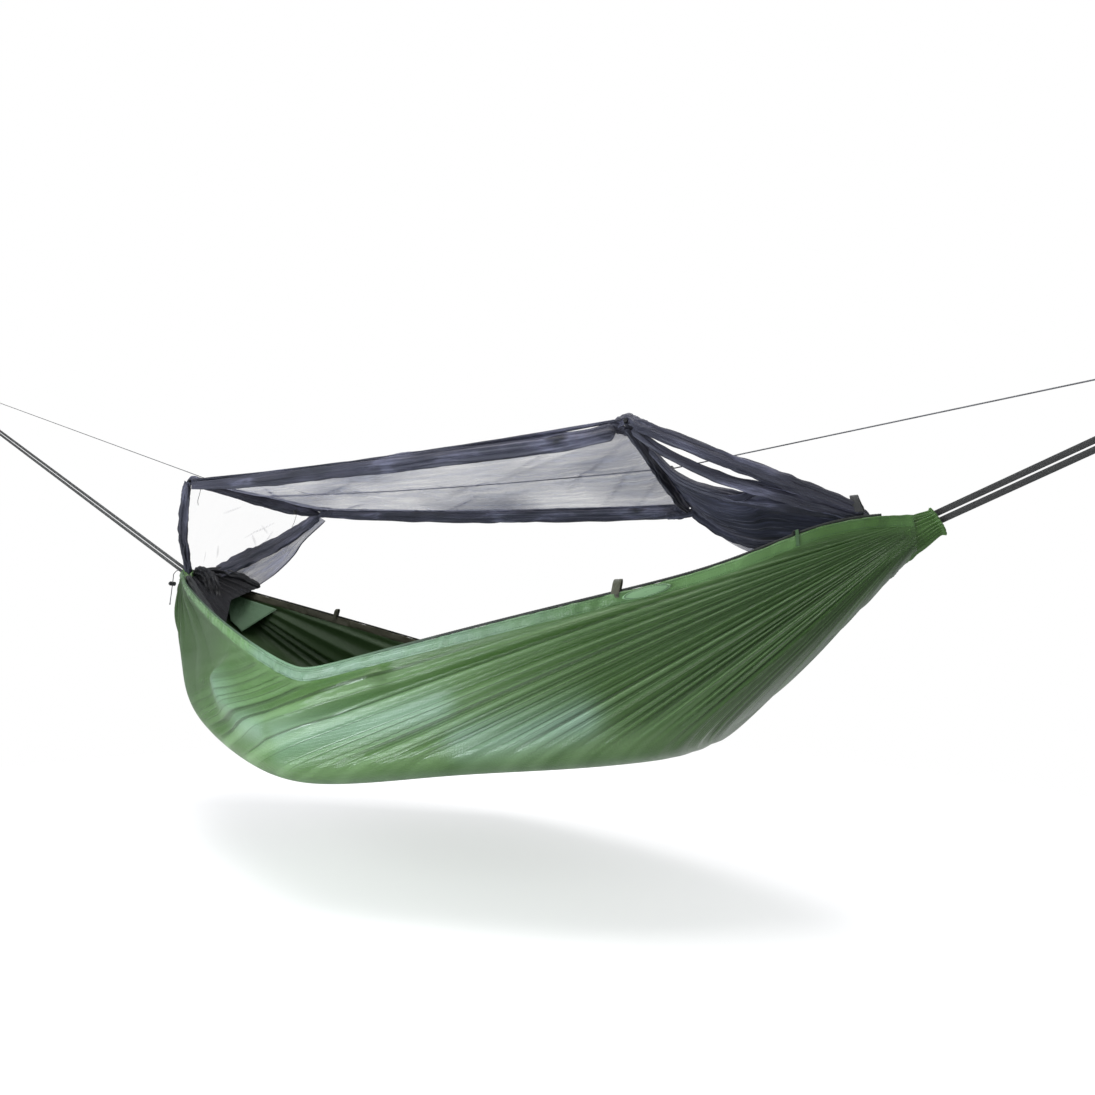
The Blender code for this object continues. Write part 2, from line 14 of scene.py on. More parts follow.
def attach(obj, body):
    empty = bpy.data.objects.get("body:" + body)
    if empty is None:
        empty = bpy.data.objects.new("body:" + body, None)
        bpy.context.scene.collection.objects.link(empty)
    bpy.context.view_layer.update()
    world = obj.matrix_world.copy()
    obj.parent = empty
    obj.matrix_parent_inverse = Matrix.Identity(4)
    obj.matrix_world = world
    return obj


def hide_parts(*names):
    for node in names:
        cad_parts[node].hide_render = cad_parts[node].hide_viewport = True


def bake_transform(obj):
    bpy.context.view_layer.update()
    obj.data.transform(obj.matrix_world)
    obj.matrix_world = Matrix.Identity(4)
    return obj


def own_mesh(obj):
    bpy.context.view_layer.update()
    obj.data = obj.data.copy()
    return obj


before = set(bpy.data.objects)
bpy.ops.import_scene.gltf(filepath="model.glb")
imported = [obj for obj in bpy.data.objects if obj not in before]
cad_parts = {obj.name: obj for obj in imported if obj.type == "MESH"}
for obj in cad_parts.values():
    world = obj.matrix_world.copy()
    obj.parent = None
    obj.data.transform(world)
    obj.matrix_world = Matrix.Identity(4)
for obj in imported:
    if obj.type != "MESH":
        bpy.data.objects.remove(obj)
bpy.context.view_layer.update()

random = np.random.default_rng(7)

# Driving dimensions, as in the CAD
GAP = 0.0004
SPAN = 2.30
FOOT_DROP = 0.04
HEAD_STRAP_ANGLE = math.radians(25.6)
FOOT_STRAP_ANGLE = math.radians(23.3)
HEAD_STRAP = 2.11
FOOT_STRAP = 0.28
HEAD_RIDGE_ANGLE = math.radians(19.9)
FOOT_RIDGE_ANGLE = math.radians(3.9)
HEAD_RIDGE = 2.43
FOOT_RIDGE = 0.80
OPENING_HALF = 0.43
GATHER_HALF = 0.026
HEM_SAG = 0.31
BELLY_DEPTH = 0.553
BELLY_SWELL = 0.064
KEEL_TURN = 0.048
WALL_ROUNDING = 0.29
HEM_TALL = 0.022
BODY_END = 0.965
WEB = 0.012
WEB_THICK = 0.0026
WEB_SPREAD = 0.0075
EYE_LONG = 0.044
EYE_THICK = 0.021
EYE_BORE = 0.0082
HOOK_LONG = 0.100
WIRE = 0.0045
CORD = 0.003
DRAWCORD = 0.0025
DRAWCORD_LONG = 0.110
ROOF_HALF = 0.253
ROOF_HEAD_X = -0.772
ROOF_FOOT_X = 0.633
ROOF_HEAD_Z = 0.238
ROOF_FOOT_Z = 0.129
HEAD_TILT = math.radians(-3.2)
FOOT_TILT = math.radians(5.7)
POLE = 0.0043
SLEEVE = 0.0068
RIDGE_LOOP = 0.016
ROLL_THICK = 0.012

# Sizes of the looks alone
FLOOR_HALF = 5.0
FLOOR_Z = -0.80
BODY_ROWS = 380
BODY_COLUMNS = 401
LINING_GAP = 0.0032
RIPSTOP_PITCH = 0.0055
WEAVE_PITCH = 0.0008
MESH_PITCH = 0.0012
TIE_CORD = 0.0014

BLACK = (0, 0, 0)
WHITE = (1, 1, 1)
# A pale sheen painted on the front wall of the body
PAINTED_SHEEN_COLOUR = (0.205, 0.310, 0.245)
# A pale highlight painted along a stretch of the front hem
HEM_HIGHLIGHT_COLOUR = (0.150, 0.235, 0.170)

UP = (0, 0, 1)
HEAD_OUT = Vector((-math.cos(HEAD_STRAP_ANGLE), 0, math.sin(HEAD_STRAP_ANGLE)))
FOOT_OUT = Vector((math.cos(FOOT_STRAP_ANGLE), 0, math.sin(FOOT_STRAP_ANGLE)))
EYE_TO_BAR = EYE_LONG / 2 - EYE_BORE - 0.002
HEAD_REACH = GAP + HEAD_STRAP + EYE_LONG / 2 + EYE_TO_BAR + HOOK_LONG - WIRE
ENDS = (("head", -1, HEAD_OUT), ("foot", 1, FOOT_OUT))
CENTRE = HEAD_OUT * -HEAD_REACH + Vector((SPAN / 2, 0, 0))
ORIGIN = np.array(CENTRE)

NET_BODY = "suspended_net"
CLOTH_BODY = "hammock"


def placed(x, y, z):
    return CENTRE + Vector((x, y, z))


def lengths(vectors):
    return np.linalg.norm(vectors, axis=-1)


def running_length(points):
    """The distance from the first point to each point along a line of points."""
    return np.concatenate([[0], np.cumsum(lengths(np.diff(points, axis=0)))])


# Mesh helpers


def mesh_object(name, points, faces, uvs=None, smooth=True):
    data = bpy.data.meshes.new(name)
    data.from_pydata([tuple(p) for p in points], [], [tuple(f) for f in faces])
    if uvs is not None:
        layer = data.uv_layers.new(name="cloth")
        corners = np.empty(len(data.loops), dtype=np.int32)
        data.loops.foreach_get("vertex_index", corners)
        layer.data.foreach_set("uv", np.asarray(uvs, dtype=np.float32)[corners].ravel())
    data.polygons.foreach_set("use_smooth", [smooth] * len(data.polygons))
    data.update()
    obj = bpy.data.objects.new(name, data)
    bpy.context.collection.objects.link(obj)
    return obj


def keep_values(obj, name, values, kind="FLOAT", field="value"):
    """Keeps a value for each point of a mesh, which its material reads by name."""
    layer = obj.data.attributes.new(name, kind, "POINT")
    layer.data.foreach_set(field, values.astype(np.float32).ravel())


def grid_faces(rows, columns, wrap=False):
    """Quads of a grid of points, row by row; wrap joins the last column to the first."""
    across = columns if wrap else columns - 1
    i, j = np.meshgrid(np.arange(rows - 1), np.arange(across), indexing="ij")
    near = i * columns
    far = near + columns
    following = (j + 1) % columns
    return np.stack([near + j, near + following, far + following, far + j], -1).reshape(-1, 4)


def cloth_uvs(points):
    """Coordinates in metres along and across a grid of points, for weaves and stitching."""
    along = lengths(np.diff(points, axis=0)).mean(axis=1)
    across = lengths(np.diff(points, axis=1)).mean(axis=0)
    u = np.concatenate([[0], np.cumsum(along)])
    v = np.concatenate([[0], np.cumsum(across)])
    return np.stack(np.meshgrid(u, v, indexing="ij"), -1).reshape(-1, 2)


def open_sheet(name, points):
    rows, columns = points.shape[:2]
    return mesh_object(name, points.reshape(-1, 3), grid_faces(rows, columns), cloth_uvs(points))


def sheet_object(name, points, thick):
    """A thin closed cloth from a grid of points."""
    obj = open_sheet(name, points)
    solid = obj.modifiers.new("cloth thickness", "SOLIDIFY")
    solid.thickness = thick
    solid.offset = 0
    return obj


def tube_object(name, rings):
    """A closed tube lofted through rings of points, an array of rings x around x 3."""
    count, around = rings.shape[:2]
    faces = grid_faces(count, around, wrap=True).tolist()
    faces.append(list(range(around))[::-1])
    faces.append(list(range((count - 1) * around, count * around)))
    girth = lengths(rings[0] - np.roll(rings[0], -1, axis=0)).sum()
    turn = np.linspace(0, girth, around, endpoint=False)
    uvs = np.stack(np.meshgrid(running_length(rings.mean(axis=1)), turn, indexing="ij"), -1)
    obj = mesh_object(name, rings.reshape(-1, 3), faces, uvs.reshape(-1, 2))
    flip_outward(obj)
    return obj


def flip_outward(obj):
    """Turns a closed mesh's faces outward."""
    data = obj.data
    data.calc_loop_triangles()
    co = np.array([v.co for v in data.vertices])
    tri = co[np.array([t.vertices for t in data.loop_triangles])] - co.mean(axis=0)
    volume = np.einsum("ij,ij->i", tri[:, 0], np.cross(tri[:, 1], tri[:, 2])).sum()
    if volume < 0:
        data.flip_normals()


def smooth_route(points, count):
    """A smooth curve through given points, read at even steps along its length."""
    route = np.array([tuple(p) for p in points], dtype=float)
    padded = np.vstack([2 * route[0] - route[1], route, 2 * route[-1] - route[-2]])
    samples = []
    for a, b, c, d in zip(padded, padded[1:], padded[2:], padded[3:]):
        for s in np.linspace(0, 1, 24, endpoint=False):
            bend = (2 * a - 5 * b + 4 * c - d) * s * s + (3 * b - a - 3 * c + d) * s**3
            samples.append(b + 0.5 * ((c - a) * s + bend))
    samples = np.array([*samples, route[-1]])
    reach = running_length(samples)
    steps = np.linspace(0, reach[-1], count)
    return np.stack([np.interp(steps, reach, samples[:, k]) for k in range(3)], -1)


def straight_route(start, finish, count):
    return [start.lerp(finish, i / (count - 1)) for i in range(count)]


def curve_object(name, route, radius):
    data = bpy.data.curves.new(name, "CURVE")
    data.dimensions = "3D"
    data.bevel_depth = radius
    data.bevel_resolution = 4
    data.use_fill_caps = True
    spline = data.splines.new("POLY")
    spline.points.add(len(route) - 1)
    for place, point in zip(spline.points, route):
        place.co = (*point, 1)
    spline.use_smooth = True
    obj = bpy.data.objects.new(name, data)
    bpy.context.collection.objects.link(obj)
    return obj


def route_frames(route, upright):
    """Along, side and rise directions at each point of a route."""
    along = np.gradient(route, axis=0)
    along /= np.linalg.norm(along, axis=1, keepdims=True)
    side = np.cross(np.array(upright, dtype=float), along)
    side /= np.linalg.norm(side, axis=1, keepdims=True)
    rise = np.cross(along, side)
    return along, side, rise


def rows_of_noise(count, rows, roughness=1.0):
    """Smooth random curves from -1 to 1: an array of rows x count."""
    knots = max(4, int(roughness))
    values = random.uniform(-1, 1, (rows, knots))
    places = np.linspace(0, knots - 1, count)
    low = np.clip(places.astype(int), 0, knots - 2)
    share = places - low
    ease = share * share * (3 - 2 * share)
    return values[:, low] * (1 - ease) + values[:, low + 1] * ease


def smoothstep(low, high, x):
    share = np.clip((x - low) / (high - low), 0, 1)
    return share * share * (3 - 2 * share)


def peak(x, middle, width):
    """1 at the middle, and close to 0 two widths away from it."""
    return np.exp(-(((x - middle) / width) ** 2))


# The camera, the floor and the light


def camera_pose(yaw, pitch, roll, place):
    back = Vector((math.sin(yaw) * math.cos(pitch), -math.cos(yaw) * math.cos(pitch), math.sin(pitch)))
    right = Vector((math.cos(yaw), math.sin(yaw), 0))
    up = back.cross(right)
    rolled_right = right * math.cos(roll) + up * math.sin(roll)
    rolled_up = up * math.cos(roll) - right * math.sin(roll)
    matrix = Matrix((rolled_right, rolled_up, back)).transposed().to_4x4()
    matrix.translation = place
    return matrix


def make_camera():
    camera = bpy.data.objects.new("camera", bpy.data.cameras.new("camera"))
    bpy.context.collection.objects.link(camera)
    camera.matrix_world = camera_pose(0.481, -0.191, 0.008, placed(1.003, -1.286, -0.310))
    camera.data.sensor_width = 36
    camera.data.lens = 19.46
    camera.data.clip_start = 0.02
    camera.data.clip_end = 200
    bpy.context.scene.camera = camera


def make_area_light(name, place, target, size, power, colour):
    data = bpy.data.lights.new(name, "AREA")
    data.shape = "RECTANGLE"
    data.size = size[0]
    data.size_y = size[1]
    data.energy = power
    data.color = colour
    light = bpy.data.objects.new(name, data)
    bpy.context.collection.objects.link(light)
    light.location = place
    light.rotation_mode = "QUATERNION"
    light.rotation_quaternion = (target - place).to_track_quat("-Z", "Y")


def make_world():
    """A world that the camera sees as white, and that lights the hammock dimly and a little blue."""
    world = bpy.data.worlds.new("studio")
    bpy.context.scene.world = world
    world.use_nodes = True
    nodes = world.node_tree.nodes
    nodes.clear()
    mix = nodes.new("ShaderNodeMixShader")
    join(new_node(mix, "LightPath").outputs["Is Camera Ray"], mix.inputs["Fac"])
    looks = ((1, (0.94, 0.97, 1.0, 1), 0.42), (2, (1, 1, 1, 1), 1.0))
    for socket, colour, strength in looks:
        background = new_node(mix, "Background")
        background.inputs["Color"].default_value = colour
        background.inputs["Strength"].default_value = strength
        join(background.outputs["Background"], mix.inputs[socket])
    join(mix.outputs["Shader"], new_node(mix, "OutputWorld").inputs["Surface"])


def make_studio():
    make_world()
    side = FLOOR_HALF
    corners = [(-side, -side), (side, -side), (side, side), (-side, side)]
    places = [placed(x, y, FLOOR_Z) for x, y in corners]
    floor = mesh_object("floor", places, [(0, 1, 2, 3)], uvs=corners, smooth=False)
    floor.data.materials.append(floor_material())
    aim = placed(0, 0, -0.2)
    low_aim = placed(0.0, -0.45, -0.50)
    make_area_light("overhead_softbox", placed(0.4, -0.6, 2.4), aim, (2.8, 2.2), 92, (1.0, 1.0, 1.0))
    make_area_light("front_softbox", placed(-0.3, -3.0, 0.9), aim, (1.5, 1.2), 15, (0.94, 0.98, 1.0))
    make_area_light("low_softbox", placed(-0.25, -1.75, -0.62), low_aim, (1.00, 0.30), 25, (0.86, 0.96, 1.0))


def floor_material():
    """A pale floor that fades out into the white background a few metres from the hammock."""
    mat, shader = new_material(
        "studio floor",
        {
            "Base Color": (0.90, 0.88, 0.895, 1),
            "Roughness": 1.0,
            "Specular IOR Level": 0.0,
            "Emission Color": (1, 1, 1, 1),
        },
    )
    seen = new_node(shader, "LightPath").outputs["Is Camera Ray"]
    join(times(seen, 0.52), shader.inputs["Emission Strength"])
    length = new_node(shader, "VectorMath", operation="LENGTH")
    join(cloth_coordinates(shader)[0], length.inputs[0])
    share = calculate("DIVIDE", length.outputs["Value"], FLOOR_HALF)
    show_share(shader, ramp(share, [(0.24, WHITE), (0.50, BLACK)]))
    return mat


# Shader nodes: constants go straight onto sockets, and everything else is linked


def new_material(name, looks):
    """A new material and its shader, with constant looks set on the shader's sockets."""
    mat = bpy.data.materials.new(name)
    mat.use_nodes = True
    shader = mat.node_tree.nodes["Principled BSDF"]
    for look, value in looks.items():
        shader.inputs[look].default_value = value
    return mat, shader


def new_node(near, kind, **settings):
    """A new node in the tree that another node or socket belongs to."""
    node = near.id_data.nodes.new("ShaderNode" + kind)
    for name, value in settings.items():
        setattr(node, name, value)
    return node


def join(value, socket):
    """Sets a socket to a number, or links it to another node's output."""
    if isinstance(value, (int, float)):
        socket.default_value = value
    else:
        socket.id_data.links.new(value, socket)


def calculate(operation, *values):
    sockets = [value for value in values if not isinstance(value, (int, float))]
    node = new_node(sockets[0], "Math", operation=operation)
    for value, socket in zip(values, node.inputs):
        join(value, socket)
    return node.outputs[0]


def plus(first, second):
    return calculate("ADD", first, second)


def times(first, second):
    return calculate("MULTIPLY", first, second)


def ramp(factor, stops):
    node = new_node(factor, "ValToRGB")
    colours = node.color_ramp
    while len(colours.elements) < len(stops):
        colours.elements.new(0.5)
    for element, (place, colour) in zip(colours.elements, stops):
        element.position = place
        element.color = (*colour, 1)
    join(factor, node.inputs["Fac"])
    return node.outputs["Color"]


def mixed_colour(share, colour, other):
    mix = new_node(colour, "Mix", data_type="RGBA")
    join(share, mix.inputs["Factor"])
    join(colour, mix.inputs["A"])
    mix.inputs["B"].default_value = (*other, 1)
    return mix.outputs["Result"]


def noise(vector, scale, detail=2.0, stretch=(1, 1, 1)):
    mapping = new_node(vector, "Mapping")
    mapping.inputs["Scale"].default_value = stretch
    join(vector, mapping.inputs["Vector"])
    node = new_node(vector, "TexNoise")
    join(float(scale), node.inputs["Scale"])
    join(detail, node.inputs["Detail"])
    join(mapping.outputs["Vector"], node.inputs["Vector"])
    return node.outputs["Fac"]


def threads(coordinate, pitch):
    """0 to 1 and back once per pitch, in metres, along a coordinate."""
    wave = calculate("SINE", times(coordinate, 2 * math.pi / pitch))
    return plus(times(wave, 0.5), 0.5)


def split_vector(vector):
    split = new_node(vector, "SeparateXYZ")
    join(vector, split.inputs["Vector"])
    return split.outputs["X"], split.outputs["Y"], split.outputs["Z"]


def cloth_coordinates(shader):
    """The cloth's own coordinates in metres, as a vector and along and across it."""
    uv = new_node(shader, "UVMap", uv_map="cloth").outputs["UV"]
    along, across, _ = split_vector(uv)
    return uv, along, across


def object_place(shader):
    return new_node(shader, "TexCoord").outputs["Object"]


def attribute(shader, name, output="Fac"):
    return new_node(shader, "Attribute", attribute_name=name).outputs[output]


def show_share(shader, share):
    """Shows the material by a share, and what is behind it by the rest."""
    mix = new_node(shader, "MixShader")
    join(share, mix.inputs["Fac"])
    join(new_node(shader, "BsdfTransparent").outputs["BSDF"], mix.inputs[1])
    join(shader.outputs["BSDF"], mix.inputs[2])
    join(mix.outputs["Shader"], shader.id_data.nodes["Material Output"].inputs["Surface"])


def add_bump(shader, height, strength, distance):
    bump = new_node(shader, "Bump")
    join(strength, bump.inputs["Strength"])
    join(distance, bump.inputs["Distance"])
    join(height, bump.inputs["Height"])
    join(bump.outputs["Normal"], shader.inputs["Normal"])


def between(first, second, share=0.5):
    return tuple(a * (1 - share) + b * share for a, b in zip(first, second))


def scaled(colour, factor):
    return tuple(min(1, part * factor) for part in colour)


# Materials


def ripstop_material(name, dark, light, roughness, sheen, pleated=False, hem_highlight=None):
    """Silky nylon with the raised square grid of a ripstop weave.

    pleated cloth also carries fine creases along the fan of its gathered end, painted dark as shade, and each
    pleat is painted lighter or darker as a highlight; it is painted darker near its gathered ends as the
    shade among the bunched folds, and a pale sheen is painted on its front wall. The last argument is the
    colour of a highlight painted along a stretch of the hem.
    """
    mat, shader = new_material(
        name,
        {
            "Sheen Weight": sheen,
            "Sheen Roughness": 0.35,
            "Sheen Tint": (0.60, 0.85, 0.62, 1),
            "Specular IOR Level": 0.6,
            "IOR": 1.42,
        },
    )
    uv, along, across = cloth_coordinates(shader)
    place = object_place(shader)
    patches = noise(place, 3.5, 3.0)
    if pleated:
        valleys, pleat_highlight = pleat_valleys(shader)
        # Painted highlight: each pleat lighter or darker
        patches = times(plus(patches, pleat_highlight), 0.5)
    colour = ramp(patches, [(0.35, dark), (0.62, light)])
    if hem_highlight:
        # Painted highlight along a stretch of the hem, broken up by noise
        window = [(0.40, BLACK), (0.46, WHITE), (0.66, WHITE), (0.84, BLACK)]
        painted_highlight = times(ramp(calculate("DIVIDE", along, SPAN), window), plus(noise(place, 18, 3.0), 0.25))
        colour = mixed_colour(painted_highlight, colour, hem_highlight)
    if pleated:
        # Painted shade: darker near the gathered ends, where shade falls among the bunched folds
        colour = mixed_colour(times(attribute(shader, "bunched"), 0.75), colour, scaled(dark, 0.65))
        # Painted sheen: pale stretches of the front wall
        colour = mixed_colour(attribute(shader, "painted_sheen"), colour, PAINTED_SHEEN_COLOUR)
    join(plus(times(noise(place, 14), 0.10), roughness - 0.05), shader.inputs["Roughness"])
    grid_x = calculate("POWER", threads(along, RIPSTOP_PITCH), 14)
    grid_y = calculate("POWER", threads(across, RIPSTOP_PITCH), 14)
    grid = calculate("MAXIMUM", grid_x, grid_y)
    weave = times(threads(along, WEAVE_PITCH), threads(across, WEAVE_PITCH))
    crumple = noise(uv, 60, 3.0, (0.35, 1, 1))
    raised = plus(plus(grid, times(weave, 0.35)), times(crumple, 1.6))
    if pleated:
        raised = plus(raised, times(valleys, -8.0))
        # Painted shade: the creases between pleats are painted dark, besides being sunk by the bump
        colour = mixed_colour(times(valleys, 0.70), colour, scaled(dark, 0.20))
    join(colour, shader.inputs["Base Color"])
    add_bump(shader, raised, 0.28, 0.0012)
    return mat


def pleat_valleys(shader):
    """1 in the creases between fine pleats, and a painted highlight that makes each pleat lighter or darker,
    from the cloth's fan attribute.
    """
    angle, long_reach, short_reach = split_vector(attribute(shader, "fan", "Vector"))
    lines = []
    pleat_highlights = []
    for scale, sharp, reach in ((44.0, 20.0, long_reach), (95.0, 11.0, short_reach)):
        wander = new_node(shader, "TexNoise", noise_dimensions="1D")
        join(scale, wander.inputs["Scale"])
        join(1.0, wander.inputs["Detail"])
        join(angle, wander.inputs["W"])
        pleat_highlights.append(wander.outputs["Fac"])
        away = calculate("ABSOLUTE", calculate("SUBTRACT", pleat_highlights[-1], 0.5))
        near = calculate("SUBTRACT", 1.0, calculate("MINIMUM", times(away, sharp), 1.0))
        lines.append(times(calculate("POWER", near, 2.0), reach))
    return calculate("MAXIMUM", *lines), pleat_highlights[0]


def net_material(name, cover, dark, light, creased=False):
    """Fine mosquito mesh: see-through between its threads. cover is how much the threads hide.

    creased net hides more along its folds, from the mesh's own fold attribute.
    """
    looks = {"Roughness": 0.6, "Sheen Weight": 0.15, "Sheen Tint": (0.62, 0.62, 0.85, 1)}
    mat, shader = new_material(name, looks)
    uv, along, across = cloth_coordinates(shader)
    streaks = noise(uv, 26, 4.0, (0.22, 1.8, 1))
    middle = between(dark, light)
    # The lighter streaks are painted highlights along the net's folds; the dark is the net's own colour
    colour = ramp(streaks, [(0.34, dark), (0.55, middle), (0.60, light), (0.66, middle)])
    join(colour, shader.inputs["Base Color"])
    thread_x = calculate("POWER", threads(along, MESH_PITCH), 3)
    thread_y = calculate("POWER", threads(across, MESH_PITCH), 3)
    clouds = noise(uv, 3.2, 1.0, (0.8, 1.2, 1))
    doubled = times(calculate("SUBTRACT", clouds, 0.30), 1.5)
    base = plus(times(streaks, 0.8), calculate("MAXIMUM", doubled, 0.18))
    woven = plus(times(calculate("MAXIMUM", thread_x, thread_y), 0.5), 0.75)
    thick = times(times(base, woven), cover)
    if creased:
        thick = plus(thick, times(attribute(shader, "fold"), 0.15))
    show_share(shader, calculate("MINIMUM", thick, 1.0))
    add_bump(shader, streaks, 0.5, 0.003)
    return mat


def bunched_net_material(name, dark, light):
    """Many layers of mosquito mesh rolled together: opaque, with soft lighter streaks painted as highlights
    along the folds.
    """
    mat, shader = new_material(
        name,
        {"Roughness": 0.55, "Sheen Weight": 0.06, "Sheen Roughness": 0.4, "Sheen Tint": (0.6, 0.6, 0.85, 1)},
    )
    uv, along, across = cloth_coordinates(shader)
    streaks = noise(uv, 42, 5.0, (0.10, 1.8, 1))
    middle = between(dark, light, 1 / 3)
    colour = ramp(streaks, [(0.34, dark), (0.54, middle), (0.60, light), (0.66, dark)])
    join(colour, shader.inputs["Base Color"])
    mesh = times(times(threads(along, MESH_PITCH), threads(across, MESH_PITCH)), 0.3)
    add_bump(shader, plus(streaks, mesh), 0.7, 0.004)
    return mat


def webbing_material(name, dark, light):
    """Woven tape: a fine chevron weave."""
    mat, shader = new_material(name, {"Roughness": 0.7, "Sheen Weight": 0.3})
    uv, along, across = cloth_coordinates(shader)
    folded = calculate("ABSOLUTE", calculate("SUBTRACT", across, WEB / 2))
    weave = threads(plus(along, folded), 0.0016)
    shade = times(plus(weave, noise(uv, 90, 3.0)), 0.5)
    join(ramp(shade, [(0.25, dark), (0.80, light)]), shader.inputs["Base Color"])
    add_bump(shader, weave, 0.6, 0.0006)
    return mat


def zip_tape_material(name, highlight_colour, foot_colour):
    """Zip tape, dark green at the head end and bare dark tape towards the foot, with a stretch between
    painted pale in the hem's green as a highlight, where the hem's painted highlight falls.
    """
    mat, shader = new_material(name, {"Roughness": 0.6})
    along = cloth_coordinates(shader)[1]
    # These stops paint a pale highlight on the tape where the hem's painted highlight falls
    cover = [(0.40, scaled(highlight_colour, 0.4)), (0.46, highlight_colour), (0.54, highlight_colour), (0.66, foot_colour)]
    weave = threads(along, 0.0018)
    shade = new_node(shader, "Mix", data_type="RGBA", blend_type="MULTIPLY")
    join(0.4, shade.inputs["Factor"])
    join(ramp(calculate("DIVIDE", along, SPAN), cover), shade.inputs["A"])
    join(ramp(weave, [(0.2, (0.5, 0.5, 0.5)), (0.8, WHITE)]), shade.inputs["B"])
    join(shade.outputs["Result"], shader.inputs["Base Color"])
    add_bump(shader, weave, 0.5, 0.0005)
    return mat


def cord_material(name, dark, light, pitch):
    """Braided cord: two crossing spirals of strands."""
    mat, shader = new_material(name, {"Roughness": 0.65})
    x, y, z = split_vector(object_place(shader))
    braid = calculate("MAXIMUM", threads(plus(x, y), pitch), threads(calculate("SUBTRACT", x, z), pitch))
    join(ramp(braid, [(0.3, dark), (0.95, light)]), shader.inputs["Base Color"])
    add_bump(shader, braid, 0.6, 0.0005)
    return mat


def metal_material(name, colour, roughness, metallic=1.0):
    """Metal with fine brushing and slight wear."""
    mat, shader = new_material(name, {"Metallic": metallic})
    scratches = noise(object_place(shader), 40, 4.0, (1, 8, 8))
    tint = ramp(scratches, [(0.3, scaled(colour, 0.75)), (0.75, scaled(colour, 1.2))])
    join(tint, shader.inputs["Base Color"])
    join(plus(times(scratches, 0.2), roughness - 0.1), shader.inputs["Roughness"])
    add_bump(shader, scratches, 0.15, 0.0005)
    return mat


def plastic_material(name, colour, roughness):
    """Moulded plastic with a faint grain."""
    mat, shader = new_material(name, {"Roughness": roughness})
    grain = noise(object_place(shader), 900)
    lighter = tuple(min(1, part * 1.6 + 0.01) for part in colour)
    join(ramp(grain, [(0.3, colour), (0.8, lighter)]), shader.inputs["Base Color"])
    add_bump(shader, grain, 0.25, 0.0002)
    return mat


# The looks of each make of material, as the arguments of its function
RIPSTOPS = {
    "ripstop": ("green ripstop", (0.042, 0.102, 0.018), (0.118, 0.208, 0.082), 0.30, 0.07, True),
    "lining": ("inner ripstop", (0.044, 0.094, 0.026), (0.076, 0.142, 0.048), 0.46, 0.12, True),
    "channel": ("gathered ripstop", (0.034, 0.090, 0.012), (0.075, 0.165, 0.038), 0.36, 0.16),
    "pocket": ("pocket ripstop", (0.100, 0.190, 0.105), (0.150, 0.260, 0.150), 0.42, 0.25),
    "patch": ("patch ripstop", (0.110, 0.215, 0.095), (0.190, 0.320, 0.170), 0.36, 0.4),
    "dark_binding": ("dark binding", (0.010, 0.022, 0.008), (0.020, 0.040, 0.014), 0.6, 0.1),
    # The hem is a little paler than the body as a painted sheen on its crown, and carries a painted highlight
    "hem": ("hem ripstop", (0.050, 0.115, 0.024), (0.115, 0.225, 0.080), 0.28, 0.30, False, HEM_HIGHLIGHT_COLOUR),
    "back_hem": ("back hem ripstop", (0.046, 0.044, 0.024), (0.075, 0.070, 0.042), 0.55, 0.1),
}
NETS = {
    "roof_net": ("roof mosquito net", 0.92, (0.085, 0.085, 0.125), (0.34, 0.34, 0.44), True),
    "clear_net": ("single mosquito net", 0.055, (0.10, 0.10, 0.14), (0.45, 0.45, 0.55), True),
    "flap_net": ("doubled mosquito net", 1.35, (0.060, 0.060, 0.090), (0.22, 0.22, 0.32)),
    "dense_net": ("folded mosquito net", 2.6, (0.006, 0.006, 0.013), (0.070, 0.070, 0.115)),
}
BUNCHED_NETS = {
    "rolled_net": ("rolled mosquito net", (0.010, 0.010, 0.018), (0.110, 0.110, 0.165)),
    "black_net": ("bunched mosquito net", (0.003, 0.003, 0.004), (0.015, 0.015, 0.019)),
    "cuff_net": ("dark grey net cuff", (0.030, 0.032, 0.034), (0.085, 0.088, 0.092)),
}
WEBBINGS = {
    "webbing": ("black webbing", (0.006, 0.006, 0.006), (0.030, 0.030, 0.030)),
    "olive": ("olive webbing", (0.030, 0.030, 0.014), (0.075, 0.075, 0.040)),
}
ZIP_TAPES = {
    # The front tape's pale colour is a painted highlight; the dark one is the tape's own
    "front_zip": ("front zip tape", (0.130, 0.230, 0.135), (0.014, 0.018, 0.014)),
    "back_zip": ("back zip tape", (0.040, 0.040, 0.024), (0.040, 0.040, 0.024)),
}
PLASTICS = {
    "thread": ("sewing thread", (0.030, 0.065, 0.030), 0.6),
    "black_thread": ("black sewing thread", (0.025, 0.025, 0.025), 0.6),
    "green_plastic": ("dark green plastic", (0.020, 0.055, 0.014), 0.45),
    "plastic": ("black plastic", (0.012, 0.012, 0.013), 0.38),
}
CORDS = {
    "ridge_cord": ("grey braided cord", (0.055, 0.055, 0.06), (0.16, 0.16, 0.17), 0.004),
    "black_cord": ("black braided cord", (0.008, 0.008, 0.008), (0.04, 0.04, 0.04), 0.003),
}
METALS = {
    "steel": ("steel wire", (0.55, 0.56, 0.58), 0.28),
    "black_alloy": ("black anodised alloy", (0.020, 0.020, 0.022), 0.36, 0.6),
}


def make_materials():
    makes = (
        (ripstop_material, RIPSTOPS),
        (net_material, NETS),
        (bunched_net_material, BUNCHED_NETS),
        (webbing_material, WEBBINGS),
        (zip_tape_material, ZIP_TAPES),
        (plastic_material, PLASTICS),
        (cord_material, CORDS),
        (metal_material, METALS),
    )
    return {key: make(*looks) for make, table in makes for key, looks in table.items()}


